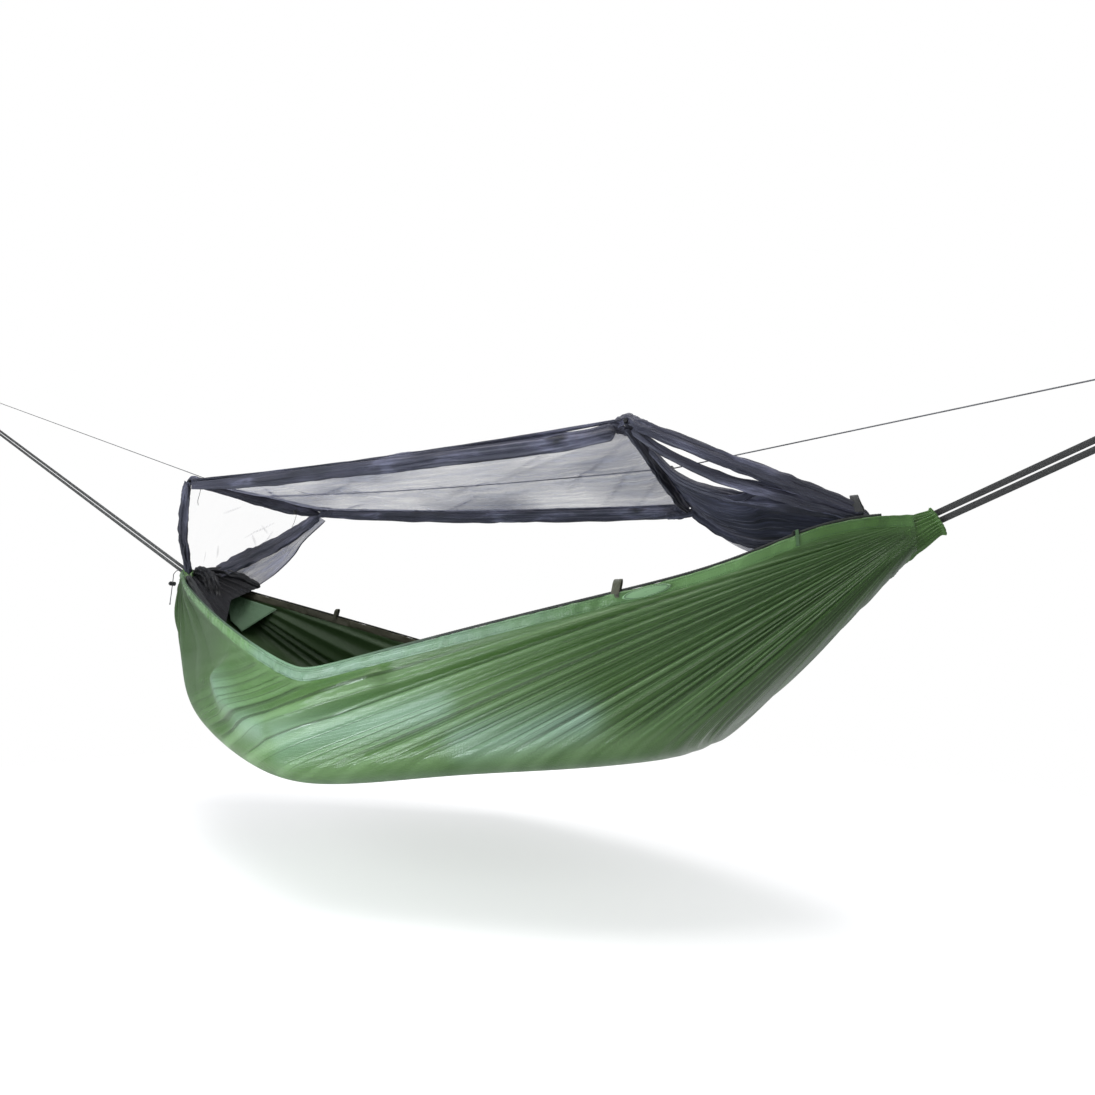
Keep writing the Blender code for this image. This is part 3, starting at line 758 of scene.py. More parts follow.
def dress(obj, look, body=None, node=None):
    """Gives a piece its material, the body it moves with and the CAD node it replaces."""
    obj.data.materials.append(materials[look])
    if body:
        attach(obj, body)
    if node:
        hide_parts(node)
    return obj


# The fabric body


def hem_half(u):
    spread = (1 - np.abs(u) ** 1.45) * (1 + 0.07 * u)
    return GATHER_HALF + (OPENING_HALF - GATHER_HALF) * spread


def hem_height(u):
    dip = np.sqrt(u * u + 0.0016) - 0.04
    crown = np.where(u > 0, 0.037 * peak(u, 0.86, 0.14), 0.02 * peak(u, -0.93, 0.06))
    return -HEM_SAG * (1 - dip) + crown - FOOT_DROP * (u + 1) / 2


def belly_height(u):
    head_share = (1 - np.abs(u) ** 2.1) * (1 - 0.12 * u)
    positive = np.maximum(u, 0)
    floor = 1 - 0.12 * positive - 0.2 * positive**2 / (positive + 0.15)
    run = (1 - positive) / 0.447
    foot_share = -KEEL_TURN * np.log(np.exp(-floor / KEEL_TURN) + np.exp(-run / KEEL_TURN))
    share = np.where(u < 0, head_share, foot_share)
    return -0.026 * u**4 - BELLY_DEPTH * share - FOOT_DROP * (u + 1) / 2


def section(u, turn):
    """Cross-section points at station u: turn is -1 at the front hem and 1 at the back hem."""
    phi = turn * math.pi / 2
    swell = BELLY_SWELL * (1 - u**4) * np.sin(2 * np.abs(phi)) * np.sign(phi)
    y = hem_half(u) * np.sin(phi) + swell
    top = hem_height(u) - HEM_TALL
    z = top - (top - belly_height(u)) * np.maximum(np.cos(phi), 0) ** WALL_ROUNDING
    return y, z


def body_grid(stations, across):
    """The body's surface, with points evenly spaced round each cross-section."""
    finely = np.linspace(-1, 1, 4001)
    finely = np.sign(finely) * (1 - (1 - np.abs(finely)) ** 2.5)
    grid = np.empty((len(stations), across, 3))
    for i, u in enumerate(stations):
        y, z = section(u, finely)
        reach = np.concatenate([[0], np.cumsum(np.hypot(np.diff(y), np.diff(z)))])
        steps = np.linspace(0, reach[-1], across)
        grid[i, :, 0] = SPAN / 2 * u
        grid[i, :, 1] = np.interp(steps, reach, y)
        grid[i, :, 2] = np.interp(steps, reach, z)
    return grid


def surface_normals(grid):
    along = np.gradient(grid, axis=0)
    across = np.gradient(grid, axis=1)
    normal = np.cross(along, across)
    normal /= np.maximum(np.linalg.norm(normal, axis=-1, keepdims=True), 1e-12)
    middle = grid.shape[1] // 2
    if normal[grid.shape[0] // 2, middle, 2] > 0:
        normal = -normal
    return normal


def ridges(angle, first, last, count, seed):
    """Pleats across a fan of angles: rounded ridges with sharp valleys, each with its own height."""
    own = np.random.default_rng(seed)
    knots = np.linspace(first, last, count + 1)
    knots[1:-1] += own.uniform(-0.30, 0.30, count - 1) * (last - first) / count
    heights = own.uniform(0.35, 1.0, count)
    pick = np.clip(np.searchsorted(knots, angle) - 1, 0, count - 1)
    share = np.clip((angle - knots[pick]) / (knots[pick + 1] - knots[pick]), 0, 1)
    return heights[pick] * (1 - np.abs(2 * share - 1) ** 1.6), pick


# The slack fold that hangs in the front wall by the head, as points along it: x and z
SAG_FOLD = ((-0.37, -0.348), (-0.30, -0.398), (-0.19, -0.427), (-0.07, -0.441), (0.02, -0.413),
            (0.09, -0.370), (0.16, -0.338))

# Painted sheen: stretches of the front wall that are painted pale as a sheen, as a route in x and z, half
# width and strength
PAINTED_SHEEN_ROUTES = (
    (((-0.02, -0.47), (0.12, -0.435), (0.30, -0.395)), 0.034, 0.75),
    (((0.36, -0.45), (0.46, -0.43), (0.56, -0.405)), 0.034, 0.80),
    (((-0.36, -0.36), (-0.25, -0.42), (-0.08, -0.455)), 0.030, 0.50),
)


def distance_to_route(x, z, route):
    """The distance from each point to the nearest stretch of a route in the same plane."""
    nearest = np.full(x.shape, 1e9)
    for (x0, z0), (x1, z1) in zip(route, route[1:]):
        run = np.array((x1 - x0, z1 - z0))
        share = ((x - x0) * run[0] + (z - z0) * run[1]) / (run @ run)
        share = np.clip(share, 0, 1)
        nearest = np.minimum(nearest, np.hypot(x - x0 - share * run[0], z - z0 - share * run[1]))
    return nearest


def fan_round(grid, end):
    """How far each point is from a gathered end, and its angle below the level line through the end."""
    inward = SPAN / 2 - end * grid[..., 0]
    below = -FOOT_DROP * (end + 1) / 2 - grid[..., 2]
    return np.hypot(inward, below), np.arctan2(below, inward)


def foot_pleats(reach, angle, floor_fade, front):
    """Fine pleats that fan out of the foot gather, and two long creases in the front wall."""
    count = 36
    pleats, which = ridges(angle, 0.20, 1.02, count, 3)
    fine, _ = ridges(angle, 0.20, 1.02, 83, 11)
    own_reach = 0.95 + 0.75 * np.random.default_rng(5).uniform(0, 1, count)[which]
    fade = smoothstep(own_reach + 0.15, own_reach - 0.35, reach)
    grow = np.minimum(reach * 0.024, 0.011)
    depth = grow * (pleats + 0.30 * fine * smoothstep(0.75, 0.30, reach) - 0.5) * fade
    long_crease = peak(angle, 0.502, 0.0045) * smoothstep(0.3, 0.7, reach)
    second = peak(angle, 0.415, 0.006) * smoothstep(0.25, 0.6, reach)
    return (depth - (0.007 * long_crease + 0.004 * second) * front) * floor_fade


def head_pleats(reach, angle, front):
    """Short pleats and bulges below the head gather in front, and broad folds in the back wall."""
    short, _ = ridges(angle, 0.15, 1.50, 20, 8)
    bulge, _ = ridges(angle, 0.25, 1.52, 8, 17)
    broad, _ = ridges(angle, 0.10, 0.75, 9, 21)
    grow = np.minimum(reach * 0.090, 0.018)
    bulge_reach = smoothstep(1.00, 0.40, reach) * smoothstep(0.06, 0.28, reach)
    broad_reach = smoothstep(1.35, 0.55, reach) * smoothstep(0.05, 0.30, reach)
    in_front = grow * (short - 0.4) * smoothstep(0.50, 0.14, reach) + 0.011 * (bulge - 0.4) * bulge_reach
    behind = 0.013 * (broad - 0.4) * broad_reach
    return in_front * front + behind * (1 - front)


# How strongly each point of the front wall is painted pale as a sheen
def painted_sheen_part(x, z):
    painted_sheen = np.zeros(x.shape)
    for route, width, strength in PAINTED_SHEEN_ROUTES:
        painted_sheen = np.maximum(painted_sheen, strength * peak(distance_to_route(x, z, route), 0, width))
    return painted_sheen


def pleat_depth(grid, stations):
    """How far the pleats, creases and slack folds stand out from the plain body surface.

    It also returns what the cloth's material reads at each point: the fan, which is an angle and the
    strength of the long and the short creases, painted shade near the gathered ends and a painted sheen.
    """
    x, y, z = np.moveaxis(grid, -1, 0)
    u = np.repeat(stations[:, None], grid.shape[1], axis=1)
    front = smoothstep(0.02, -0.02, y)
    foot_reach, foot_angle = fan_round(grid, 1)
    head_reach, head_angle = fan_round(grid, -1)
    floor_fade = np.maximum(smoothstep(0.035, 0.11, z - belly_height(u)), smoothstep(0.55, 0.70, u))
    hem_fade = smoothstep(0.0, 0.02, hem_height(u) - HEM_TALL - z)

    slack = 0.006 * np.sin(7.0 * x + 5 * z + 1.2) * np.sin(4.5 * x - 9.0 * z)
    slack = slack * smoothstep(0.96, 0.75, np.abs(u))
    long_folds, _ = ridges(foot_angle + 0.02 * np.sin(6 * x), 0.15, 1.00, 9, 40)
    long_reach = smoothstep(0.55, 1.10, foot_reach) * smoothstep(0.25, 0.55, head_reach)
    slack = slack + 0.015 * (long_folds - 0.45) * long_reach * floor_fade * front
    slack = slack + 0.026 * peak(distance_to_route(x, z, SAG_FOLD), 0, 0.034) * front * floor_fade
    foot_part = foot_pleats(foot_reach, foot_angle, floor_fade, front)
    foot_part = foot_part * np.where(front < 0.5, smoothstep(-0.15, 0.35, u), 1)
    depth = foot_part + head_pleats(head_reach, head_angle, front) + slack

    long_creases = smoothstep(2.5, 1.3, foot_reach) * floor_fade * smoothstep(0.16, 0.26, foot_angle)
    long_creases = long_creases * smoothstep(0.42, 0.62, head_reach)
    short_creases = smoothstep(1.0, 0.35, foot_reach) * floor_fade
    at_head = head_reach < 0.42
    fan_angle = np.where(at_head, 3 + 0.6 * head_angle, foot_angle)
    fan_strength = np.where(at_head, smoothstep(0.42, 0.12, head_reach), long_creases)
    fan = np.stack([fan_angle, fan_strength * hem_fade, short_creases * hem_fade], -1)
    # Painted shade: the cloth is painted darker near the gathered ends, where shade falls among the folds
    bunched = np.maximum(0.70 * smoothstep(1.45, 0.35, foot_reach), 1.2 * smoothstep(1.15, 0.62, head_reach))
    # Painted sheen on pale stretches of the front wall, stronger along the broad folds
    painted_sheen = painted_sheen_part(x, z) * (0.45 + 0.55 * long_folds) * front
    return depth * (0.15 + 0.85 * hem_fade), fan, {"bunched": bunched, "painted_sheen": painted_sheen}


def make_body():
    """The two ripstop layers of the body, pleated from the gathered ends."""
    even = np.linspace(-1, 1, BODY_ROWS)
    stations = BODY_END * (0.7 * even + 0.3 * np.sin(even * math.pi / 2))
    grid = body_grid(stations, BODY_COLUMNS)
    normal = surface_normals(grid)
    depth, fan, painted_marks = pleat_depth(grid, stations)
    grid = grid + normal * depth[..., None]
    layers = (("outer", "ripstop", grid, 1), ("inner", "lining", grid - normal * LINING_GAP, 2))
    for name, look, points, step in layers:
        obj = open_sheet(f"pleated_{name}_layer", points[::step, ::step] + ORIGIN)
        keep_values(obj, "fan", fan[::step, ::step], "FLOAT_VECTOR", "vector")
        # Masks of painted shade and painted sheen, which the cloth's material reads
        for painted_mark, values in painted_marks.items():
            keep_values(obj, painted_mark, values[::step, ::step])
        dress(obj, look, CLOTH_BODY, f"base_{name}_layer")
    return grid, normal, stations


# Hems, zip tapes and their stitching


def hem_line(u, side, out, up):
    """Points along the hem: out from the fabric and up from the hem's top edge."""
    return np.stack([SPAN / 2 * u, side * (hem_half(u) + out), hem_height(u) + up], -1)


def make_hem(name, side, look):
    """The turned and stitched hem, puckered by its stitching."""
    count = 700
    u = np.linspace(-BODY_END, BODY_END, count)
    pucker = rows_of_noise(count, 3, 150) * 0.0016 + rows_of_noise(count, 3, 60) * 0.0020
    edges = rows_of_noise(count, 3, 200) * 0.0008
    rings = []
    for k, turn in enumerate(np.linspace(0, 2 * math.pi, 16, endpoint=False)):
        tall = math.sin(turn)
        wide = math.cos(turn)
        squared = math.copysign(abs(tall) ** 0.6, tall)
        belly = pucker[0] * (1 - tall * tall) + pucker[1] * tall * 0.6
        out = -0.0024 + 0.0026 * math.copysign(abs(wide) ** 0.5, wide) + belly
        low = -HEM_TALL / 2 + (HEM_TALL / 2 + 0.001) * squared + edges[k % 3]
        rings.append(hem_line(u, side, out, low))
    hem = tube_object(f"{name}_hem", np.stack(rings, axis=1) + ORIGIN)
    dress(hem, look, CLOTH_BODY, f"{name}_hem_binding")


# Outline of the zip's half, as out from the hem and up from its top edge, with the teeth at the top
ZIP_OUTLINE = ((-0.0012, 0.0004), (-0.0038, 0.0004), (-0.0036, 0.0030), (-0.0030, 0.0050), (-0.0018, 0.0050),
               (-0.0014, 0.0030))


def make_zip_tape(name, side):
    """The half zip along the hem: a woven tape with a row of coil teeth along its top."""
    count = 900
    u = np.linspace(-BODY_END + 0.02, BODY_END - 0.045, count)
    teeth = 0.0003 * (np.arange(count) % 2)
    rings = []
    for out, up in ZIP_OUTLINE:
        tooth = teeth if up > 0.004 else 0
        rings.append(hem_line(u, side, out + tooth, up + 0.0006 + tooth))
    tape = tube_object(f"{name}_zip_coil", np.stack(rings, axis=1) + ORIGIN)
    dress(tape, f"{name}_zip", CLOTH_BODY, f"{name}_zip_tape")


def stitch_mesh(name, places, directions, length, width, look="thread"):
    """Separate small stitches: each a low five-sided bead along its direction."""
    sides = 5
    points = []
    faces = []
    for place, along in zip(places, directions):
        along = Vector(along).normalized()
        side = along.orthogonal().normalized()
        rise = along.cross(side)
        base = len(points)
        for reach, radius in ((-0.5, 0.25), (-0.25, 0.5), (0.25, 0.5), (0.5, 0.25)):
            for k in range(sides):
                turn = 2 * math.pi * k / sides
                offset = (side * math.cos(turn) + rise * math.sin(turn)) * (radius * width)
                points.append(Vector(place) + along * (reach * length) + offset)
        faces.extend((base + grid_faces(4, sides, wrap=True)).tolist())
        faces.append(tuple(base + k for k in range(sides))[::-1])
        faces.append(tuple(base + 3 * sides + k for k in range(sides)))
    return dress(mesh_object(name, points, faces), look, CLOTH_BODY)


def stitch_line(name, line, length, width):
    return stitch_mesh(name, line[:-1], np.diff(line, axis=0), length, width)


def make_hem_stitching(name, side):
    """Two rows of stitches along the hem's outer face."""
    u = np.linspace(-BODY_END + 0.01, BODY_END - 0.01, 560)
    lines = [hem_line(u, side, 0.0010, row) + ORIGIN for row in (-0.0035, -0.0185)]
    places = np.concatenate([line[:-1] for line in lines])
    directions = np.concatenate([np.diff(line, axis=0) for line in lines])
    stitch_mesh(f"{name}_hem_stitching", places, directions, 0.0028, 0.0008)


def make_hems():
    for name, side, look in (("front", -1, "hem"), ("back", 1, "back_hem")):
        make_hem(name, side, look)
        make_zip_tape(name, side)
        make_hem_stitching(name, side)


# The gathered ends


def gather_point(end):
    return placed(end * SPAN / 2, 0, -FOOT_DROP * (end + 1) / 2)


def strap_up(end, out):
    """The direction across a strap, upward, in the plane that the strap hangs in."""
    return Vector((-end * out.z, 0, abs(out.x)))


def make_end_channel(name, end, out):
    """The ruched channel at a gathered end: deep folds that run into the strap."""
    u = end * (BODY_END - 0.014)
    top = hem_height(u) + 0.0065
    low = belly_height(u) - 0.002
    half_tall = (top - low) / 2
    gather = np.array(gather_point(end))
    up = np.array(strap_up(end, out))
    around = 144
    steps = 26
    turn = np.linspace(0, 2 * math.pi, around, endpoint=False)
    folds, _ = ridges(turn, 0, 2 * math.pi, 26, 31 if end < 0 else 32)
    wander = rows_of_noise(steps, around // 6, 5)
    rings = np.empty((steps, around, 3))
    for i, share in enumerate(np.linspace(0, 1, steps)):
        ease = 0.35 * share + 0.65 * share * share * (3 - 2 * share)
        collar = 0.20 * peak(share, 0.93, 0.06) + 0.05 * peak(share, 0.2, 0.08)
        lobe = 1 - (0.05 + 0.20 * share) * (1 - folds) + collar
        lobe = lobe + 0.03 * wander[np.arange(around) % (around // 6), i]
        wide = np.cos(turn) * lobe
        tall = np.sin(turn) * lobe
        flank = hem_half(u) * 1.04 * wide
        start = np.stack([np.full(around, SPAN / 2 * u), flank, low + half_tall * (1 + tall)], -1) + ORIGIN
        finish = gather - up * 0.006 + np.outer(wide, (0, 0.020, 0)) + np.outer(tall, up * 0.025)
        rings[i] = start * (1 - ease) + finish * ease
    lip = gather + (rings[-1] - gather) * 0.62 - np.array(out) * 0.004
    channel = tube_object(f"{name}_ruched_channel", np.concatenate([rings, lip[None]]))
    dress(channel, "channel", CLOTH_BODY, f"{name}_end_channel")


def make_gathers():
    for name, end, out in ENDS:
        make_end_channel(name, end, out)


# Details sewn to the body


def declare_panel(grid):
    """Works out the flat size that a sewn panel is cut to, from its own surface; returns its width and
    length.

    A narrow three-sided cut counts its width nearer the middle than at its widest end.
    """
    long_edges = grid[1:, :-1] - grid[:-1, :-1]
    cross_edges = grid[:-1, 1:] - grid[:-1, :-1]
    area = float(lengths(np.cross(long_edges, cross_edges)).sum())
    width = float(lengths(np.diff(grid, axis=1)).sum(axis=1).max())
    length = float(lengths(np.diff(grid, axis=0)).sum(axis=0).max())
    width = min(width, area / (0.35 * length))
    flat = (round(width, 3), round(length, 3))
    return flat


def read_grid(grid, rows, columns):
    """Points of a grid at fractional rows and columns, both arrays of the same shape."""
    i = np.clip(np.floor(rows).astype(int), 0, grid.shape[0] - 2)
    j = np.clip(np.floor(columns).astype(int), 0, grid.shape[1] - 2)
    a = (rows - i)[..., None]
    b = (columns - j)[..., None]
    near = grid[i, j] * (1 - b) + grid[i, j + 1] * b
    far = grid[i + 1, j] * (1 - b) + grid[i + 1, j + 1] * b
    return near * (1 - a) + far * a


def on_body(body, u, share, out):
    """Points on the pleated body at stations u, share of the way round from the front hem to the back."""
    grid, normal, stations = body
    rows = np.interp(u, stations, np.arange(len(stations)))
    columns = np.asarray(share) * (grid.shape[1] - 1)
    return read_grid(grid, rows, columns) + read_grid(normal, rows, columns) * out


def make_pocket(body):
    """The storage pocket sewn inside the head end, with a stitched mouth."""
    rows = 46
    columns = 40
    down = np.linspace(0, 1, columns)
    along = np.linspace(0, 1, rows)[:, None]
    u = (-0.895 + 0.045 * down) * (1 - along) + (-0.735 - 0.075 * down) * along
    top = on_body(body, u[:, 0], 0.985, -0.014)
    bottom = on_body(body, u[:, -1], 0.655, -0.014)
    straight = top[:, None] * (1 - down)[None, :, None] + bottom[:, None] * down[None, :, None]
    inward = on_body(body, u, 0.82, -1.0) - on_body(body, u, 0.82, 0.0)
    bulge = np.sin(math.pi * along) * np.sin(math.pi * np.clip(down[None] * 0.9 + 0.05, 0, 1))
    ripple = rows_of_noise(columns, rows, 7) * 0.0012
    depth = 0.010 * bulge + np.abs(ripple) * (bulge > 0.02)
    grid = straight - inward * depth[..., None] + ORIGIN
    panel = sheet_object("head_pocket_panel", grid, 0.0008)
    dress(panel, "pocket", CLOTH_BODY, "head_inner_pocket")
    declare_panel(grid)
    stitch_line("pocket_stitching", grid[-2] + np.array((0.0, -0.001, 0.0015)), 0.0035, 0.0010)


def make_tieout(name, u, side, lean):
    """A folded webbing loop that stands on the hem, with its two tails stitched to the hem."""
    x = SPAN / 2 * u
    y = side * hem_half(u)
    top = hem_height(u)
    outer = y + side * 0.0016
    inner = y - side * 0.0088
    tuck = side * 0.0006
    route = (
        (0, outer, -0.008),
        (0, outer, -0.002),
        (0.4, outer, 0.010),
        (0.8, outer - tuck, 0.021),
        (1, (outer + inner) / 2, 0.0262),
        (0.8, inner + tuck, 0.021),
        (0.4, inner, 0.010),
        (0, inner, -0.004),
        (0, inner, -0.012),
    )
    path = smooth_route([placed(x + lean * share, across, top + up) for share, across, up in route], 60)
    wide = np.array((1.0, 0, 0))
    through = np.cross(np.gradient(path, axis=0), wide)
    through /= np.linalg.norm(through, axis=1, keepdims=True)
    rings = np.stack([path + wide * a + through * b for a, b in strap_section(0.016, 0.0014)], axis=1)
    loop = tube_object(f"{name}_tieout_tape", rings)
    dress(loop, "olive", CLOTH_BODY, f"{name}_tieout_loop")
    places = [placed(x + step, outer + side * 0.0012, top - 0.004) for step in np.linspace(-0.006, 0.006, 5)]
    tack = f"{name}_tieout_tape_bar_tack"
    stitch_mesh(tack, places, [UP] * 5, 0.005, 0.0011, "black_thread")


def make_oval_patch():
    """The oval reinforcement sewn over the front hem beside the tie-out loop."""
    turn = np.linspace(0, 2 * math.pi, 48)
    rings = []
    for reach in np.linspace(0.02, 1, 9):
        u = 0.582 + 0.036 * reach * np.cos(turn)
        up = -0.0115 + 0.0092 * reach * np.sin(turn)
        rings.append(hem_line(u, -1, 0.0034 + 0.0012 * (1 - reach**2), up))
    points = np.array(rings) + ORIGIN
    dress(sheet_object("tieout_patch", points, 0.0006), "patch", CLOTH_BODY)
    stitch_line("patch_stitching", points[-2] - np.array((0, 0.0008, 0)), 0.0034, 0.0009)


def make_mat_slot(body):
    """The slit at the head where a mat goes in between the two layers, as a dark bound edge."""
    share = np.linspace(0, 1, 24)
    path = on_body(body, -0.80 + 0.075 * share, 0.30 - 0.035 * share, 0.0014) + ORIGIN
    _, side, rise = route_frames(path, (0, 1, 0))
    swell = np.sin(math.pi * np.clip(share, 0.03, 0.97)) ** 0.6
    angle = np.linspace(0, 2 * math.pi, 12, endpoint=False)
    wide = (0.0042 * swell)[:, None] * np.cos(angle)
    thick = (0.0016 * swell)[:, None] * np.sin(angle)
    rings = path[:, None] + wide[..., None] * side[:, None] + thick[..., None] * rise[:, None]
    dress(tube_object("mat_slot_binding", rings), "dark_binding", CLOTH_BODY)


def make_body_details(body):
    make_pocket(body)
    make_tieout("front", 0.535, -1, 0.006)
    make_tieout("back", -0.56, 1, 0.008)
    make_oval_patch()
    make_mat_slot(body)


# Straps, ridge cords and drawcord


def strap_section(width, thick):
    """A flat webbing's outline with rounded edges, as (across, through) pairs."""
    outline = []
    half = (width - thick) / 2
    for middle, first in ((half, -90), (-half, 90)):
        for turn in np.linspace(first, first + 180, 7):
            angle = math.radians(turn)
            outline.append((middle + thick / 2 * math.cos(angle), thick / 2 * math.sin(angle)))
    return outline


def make_strap_legs(name, end, out, length):
    up = strap_up(end, out)
    start = gather_point(end) + out * GAP
    legs = []
    for leg, side in (("upper_leg", 1), ("lower_leg", -1)):
        begin = start + up * (side * WEB_SPREAD)
        route = straight_route(begin, begin + out * (length - GAP), 24)
        outline = [up * a + Vector((0, b, 0)) for a, b in strap_section(WEB, WEB_THICK)]
        rings = np.array([[point + step for step in outline] for point in route])
        obj = tube_object(f"{name}_{leg}_webbing", rings)
        dress(obj, "webbing", CLOTH_BODY, f"{name}_{leg}")
        legs.append((obj, route))
    return legs, start + out * length


def make_strap_eye(name, start, out, end):
    """The sewn eye: webbing folded round the carabiner's bar and stitched to itself."""
    up = strap_up(end, out)
    bar = start + out * (EYE_LONG / 2 + EYE_TO_BAR)
    outer = EYE_LONG / 2 - EYE_TO_BAR - 0.0006
    inner = EYE_BORE - 0.0012
    tail = EYE_LONG - outer - 0.0006
    angles = [math.radians(turn) for turn in np.linspace(-115, 115, 25)]
    outline = [(math.cos(angle), math.sin(angle)) for angle in angles]
    loop_out = [bar + out * (outer * c) + up * (outer * s * 1.05) for c, s in outline]
    loop_in = [bar + out * (inner * c) + up * (inner * s) for c, s in outline]
    join_end = bar - out * (outer + 0.006)
    tail_end = bar - out * tail
    loop_out += [join_end + up * 0.0105, tail_end + up * 0.0125]
    loop_out += [tail_end - up * 0.0125, join_end - up * 0.0105]
    throat = bar - out * (inner + 0.001)
    loop_in += [throat + up * 0.001, throat - up * 0.001]
    eye = eye_solid(f"{name}_sewn_eye", loop_out, loop_in, EYE_THICK / 2 - 0.0008)
    return dress(eye, "webbing", CLOTH_BODY, f"{name}_strap_eye")


def eye_solid(name, outer_ring, inner_ring, half):
    """Extrudes a loop with a hole, both rings running the same way round."""
    count = len(outer_ring)
    inner = resample_ring(inner_ring, count)
    outer = resample_ring(outer_ring, count)
    middle = sum(outer, Vector()) / count
    points = []
    for y, grow in ((-half, -0.0006), (-half + 0.0008, 0), (half - 0.0008, 0), (half, -0.0006)):
        points.extend(p + (p - middle).normalized() * grow + Vector((0, y, 0)) for p in outer)
    for y in (-half, half):
        points.extend(p + Vector((0, y, 0)) for p in inner)
    front_in = 4 * count
    back_in = 5 * count
    faces = []
    for i in range(count):
        j = (i + 1) % count
        for a in (0, count, 2 * count):
            faces.append((a + i, a + j, a + count + j, a + count + i))
        faces.append((i, front_in + i, front_in + j, j))
        faces.append((3 * count + i, 3 * count + j, back_in + j, back_in + i))
        faces.append((front_in + i, back_in + i, back_in + j, front_in + j))
    obj = mesh_object(name, points, faces, [(p.x + p.z, p.y) for p in points], smooth=False)
    flip_outward(obj)
    return obj


def resample_ring(ring, count):
    closed = np.array([tuple(p) for p in ring + [ring[0]]])
    reach = running_length(closed)
    steps = np.linspace(0, reach[-1], count, endpoint=False)
    return [Vector([np.interp(s, reach, closed[:, k]) for k in range(3)]) for s in steps]


def make_eye_stitching(name, start, out, end):
    """Rows of stitches on both faces of the sewn eye."""
    up = strap_up(end, out)
    places = []
    for top in (1, -1):
        for row in np.linspace(-0.007, 0.007, 5):
            for step in range(5):
                height = top * (0.0126 - 0.00012 * step)
                places.append(start + out * (0.003 + 0.0022 * step) + up * height + Vector((0, row, 0)))
    directions = [out] * len(places)
    return stitch_mesh(
        f"{name}_eye_stitching", places, directions, 0.0018, 0.0007, "black_thread"
    )


def roof_corner(end, side):
    x, z, tilt = ROOF_FOOT_X, ROOF_FOOT_Z, FOOT_TILT
    if end < 0:
        x, z, tilt = ROOF_HEAD_X, ROOF_HEAD_Z, HEAD_TILT
    return placed(x, side * ROOF_HALF * math.cos(tilt), z - side * ROOF_HALF * math.sin(tilt))


def make_ridge_cord(name, end, angle, length):
    out = Vector((end * math.cos(angle), 0, math.sin(angle)))
    middle = roof_corner(end, -1).lerp(roof_corner(end, 1), 0.5)
    start = middle + Vector((end * (SLEEVE + 2 * GAP + RIDGE_LOOP), 0, 0)) + out * (CORD / 2)
    stop = start + out * length
    obj = curve_object(f"{name}_ridge_line", straight_route(start, stop, 32), CORD / 2)
    dress(obj, "ridge_cord", NET_BODY, f"{name}_ridge_cord")
    knot = make_ring_knot(f"{name}_ridge_knot", stop, out)


def make_ring_knot(name, stop, out):
    """Turns of the cord round itself just before the ring."""
    up = out.cross(Vector((0, 1, 0))).normalized()
    radius = 0.0029
    route = []
    for turns in np.linspace(0, 5, 71):
        angle = 2 * math.pi * turns
        around = up * (radius * math.cos(angle)) + Vector((0, radius * math.sin(angle), 0))
        route.append(stop + out * (-0.004 - 0.0027 * turns) + around)
    return dress(curve_object(name, route, 0.00135), "ridge_cord", NET_BODY)


def make_lock_spring(lock):
    """The coil behind the cord lock's button, which the button flattens as it is pressed."""
    turns = 2.5
    near = 0.0031
    far = 0.0043
    wire = 0.0002
    radius = 0.0033
    around = np.linspace(0, 2 * math.pi, 8, endpoint=False)
    rings = []
    for step in np.linspace(0, 1, 50):
        angle = 2 * math.pi * turns * step
        out = Vector((math.cos(angle), 0, math.sin(angle)))
        middle = lock + out * radius + Vector((0, near + (far - near) * step, 0))
        rings.append([middle + out * wire * math.cos(a) + Vector((0, wire * math.sin(a), 0)) for a in around])
    coil = tube_object("lock_spring_coil", np.array(rings))
    dress(coil, "steel", "cord_lock", "cord_lock_spring")
    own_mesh(coil)
    return coil


def make_cord_tip(bottom):
    """The moulded tip on the drawcord's end, as rings of radius and height."""
    around = np.linspace(0, 2 * math.pi, 12, endpoint=False)
    outline = ((0.0014, 0.006), (0.0019, 0.005), (0.0019, 0.001), (0.0012, 0.0))
    rings = [[bottom + Vector((r * math.cos(a), r * math.sin(a), z)) for a in around] for r, z in outline]
    return dress(tube_object("drawcord_tip", np.array(rings)), "plastic", CLOTH_BODY)


def make_drawcord():
    top = gather_point(-1) + Vector((0.002, -0.046, -0.012))
    bottom = top - Vector((0, 0, DRAWCORD_LONG))
    exit_hole = gather_point(-1) + Vector((0.020, -0.016, -0.004))
    bend = gather_point(-1) + Vector((0.008, -0.036, 0.002))
    lead = [Vector(point) for point in smooth_route([exit_hole, bend, top, top.lerp(bottom, 0.1)], 12)]
    route = lead + straight_route(top, bottom, 16)[2:]
    obj = curve_object("hanging_drawcord", route, DRAWCORD / 2)
    dress(obj, "black_cord", CLOTH_BODY, "drawcord")
    tip = make_cord_tip(bottom)
    coil = make_lock_spring(top - Vector((0, 0, 0.035)))


def make_suspension():
    for (name, end, out), length in zip(ENDS, (HEAD_STRAP, FOOT_STRAP)):
        legs, eye_start = make_strap_legs(f"{name}_strap", end, out, length)
        eye = make_strap_eye(name, eye_start, out, end)
        stitches = make_eye_stitching(name, eye_start, out, end)
    make_ridge_cord("head", -1, HEAD_RIDGE_ANGLE, HEAD_RIDGE)
    make_ridge_cord("foot", 1, FOOT_RIDGE_ANGLE, FOOT_RIDGE)
    make_drawcord()


# The mosquito net


def points_of(*places):
    return [placed(*place) for place in places]


def read_along(values, steps):
    """Values at even places from 0 to 1, read at steps."""
    return np.interp(steps, np.linspace(0, 1, len(values)), values)


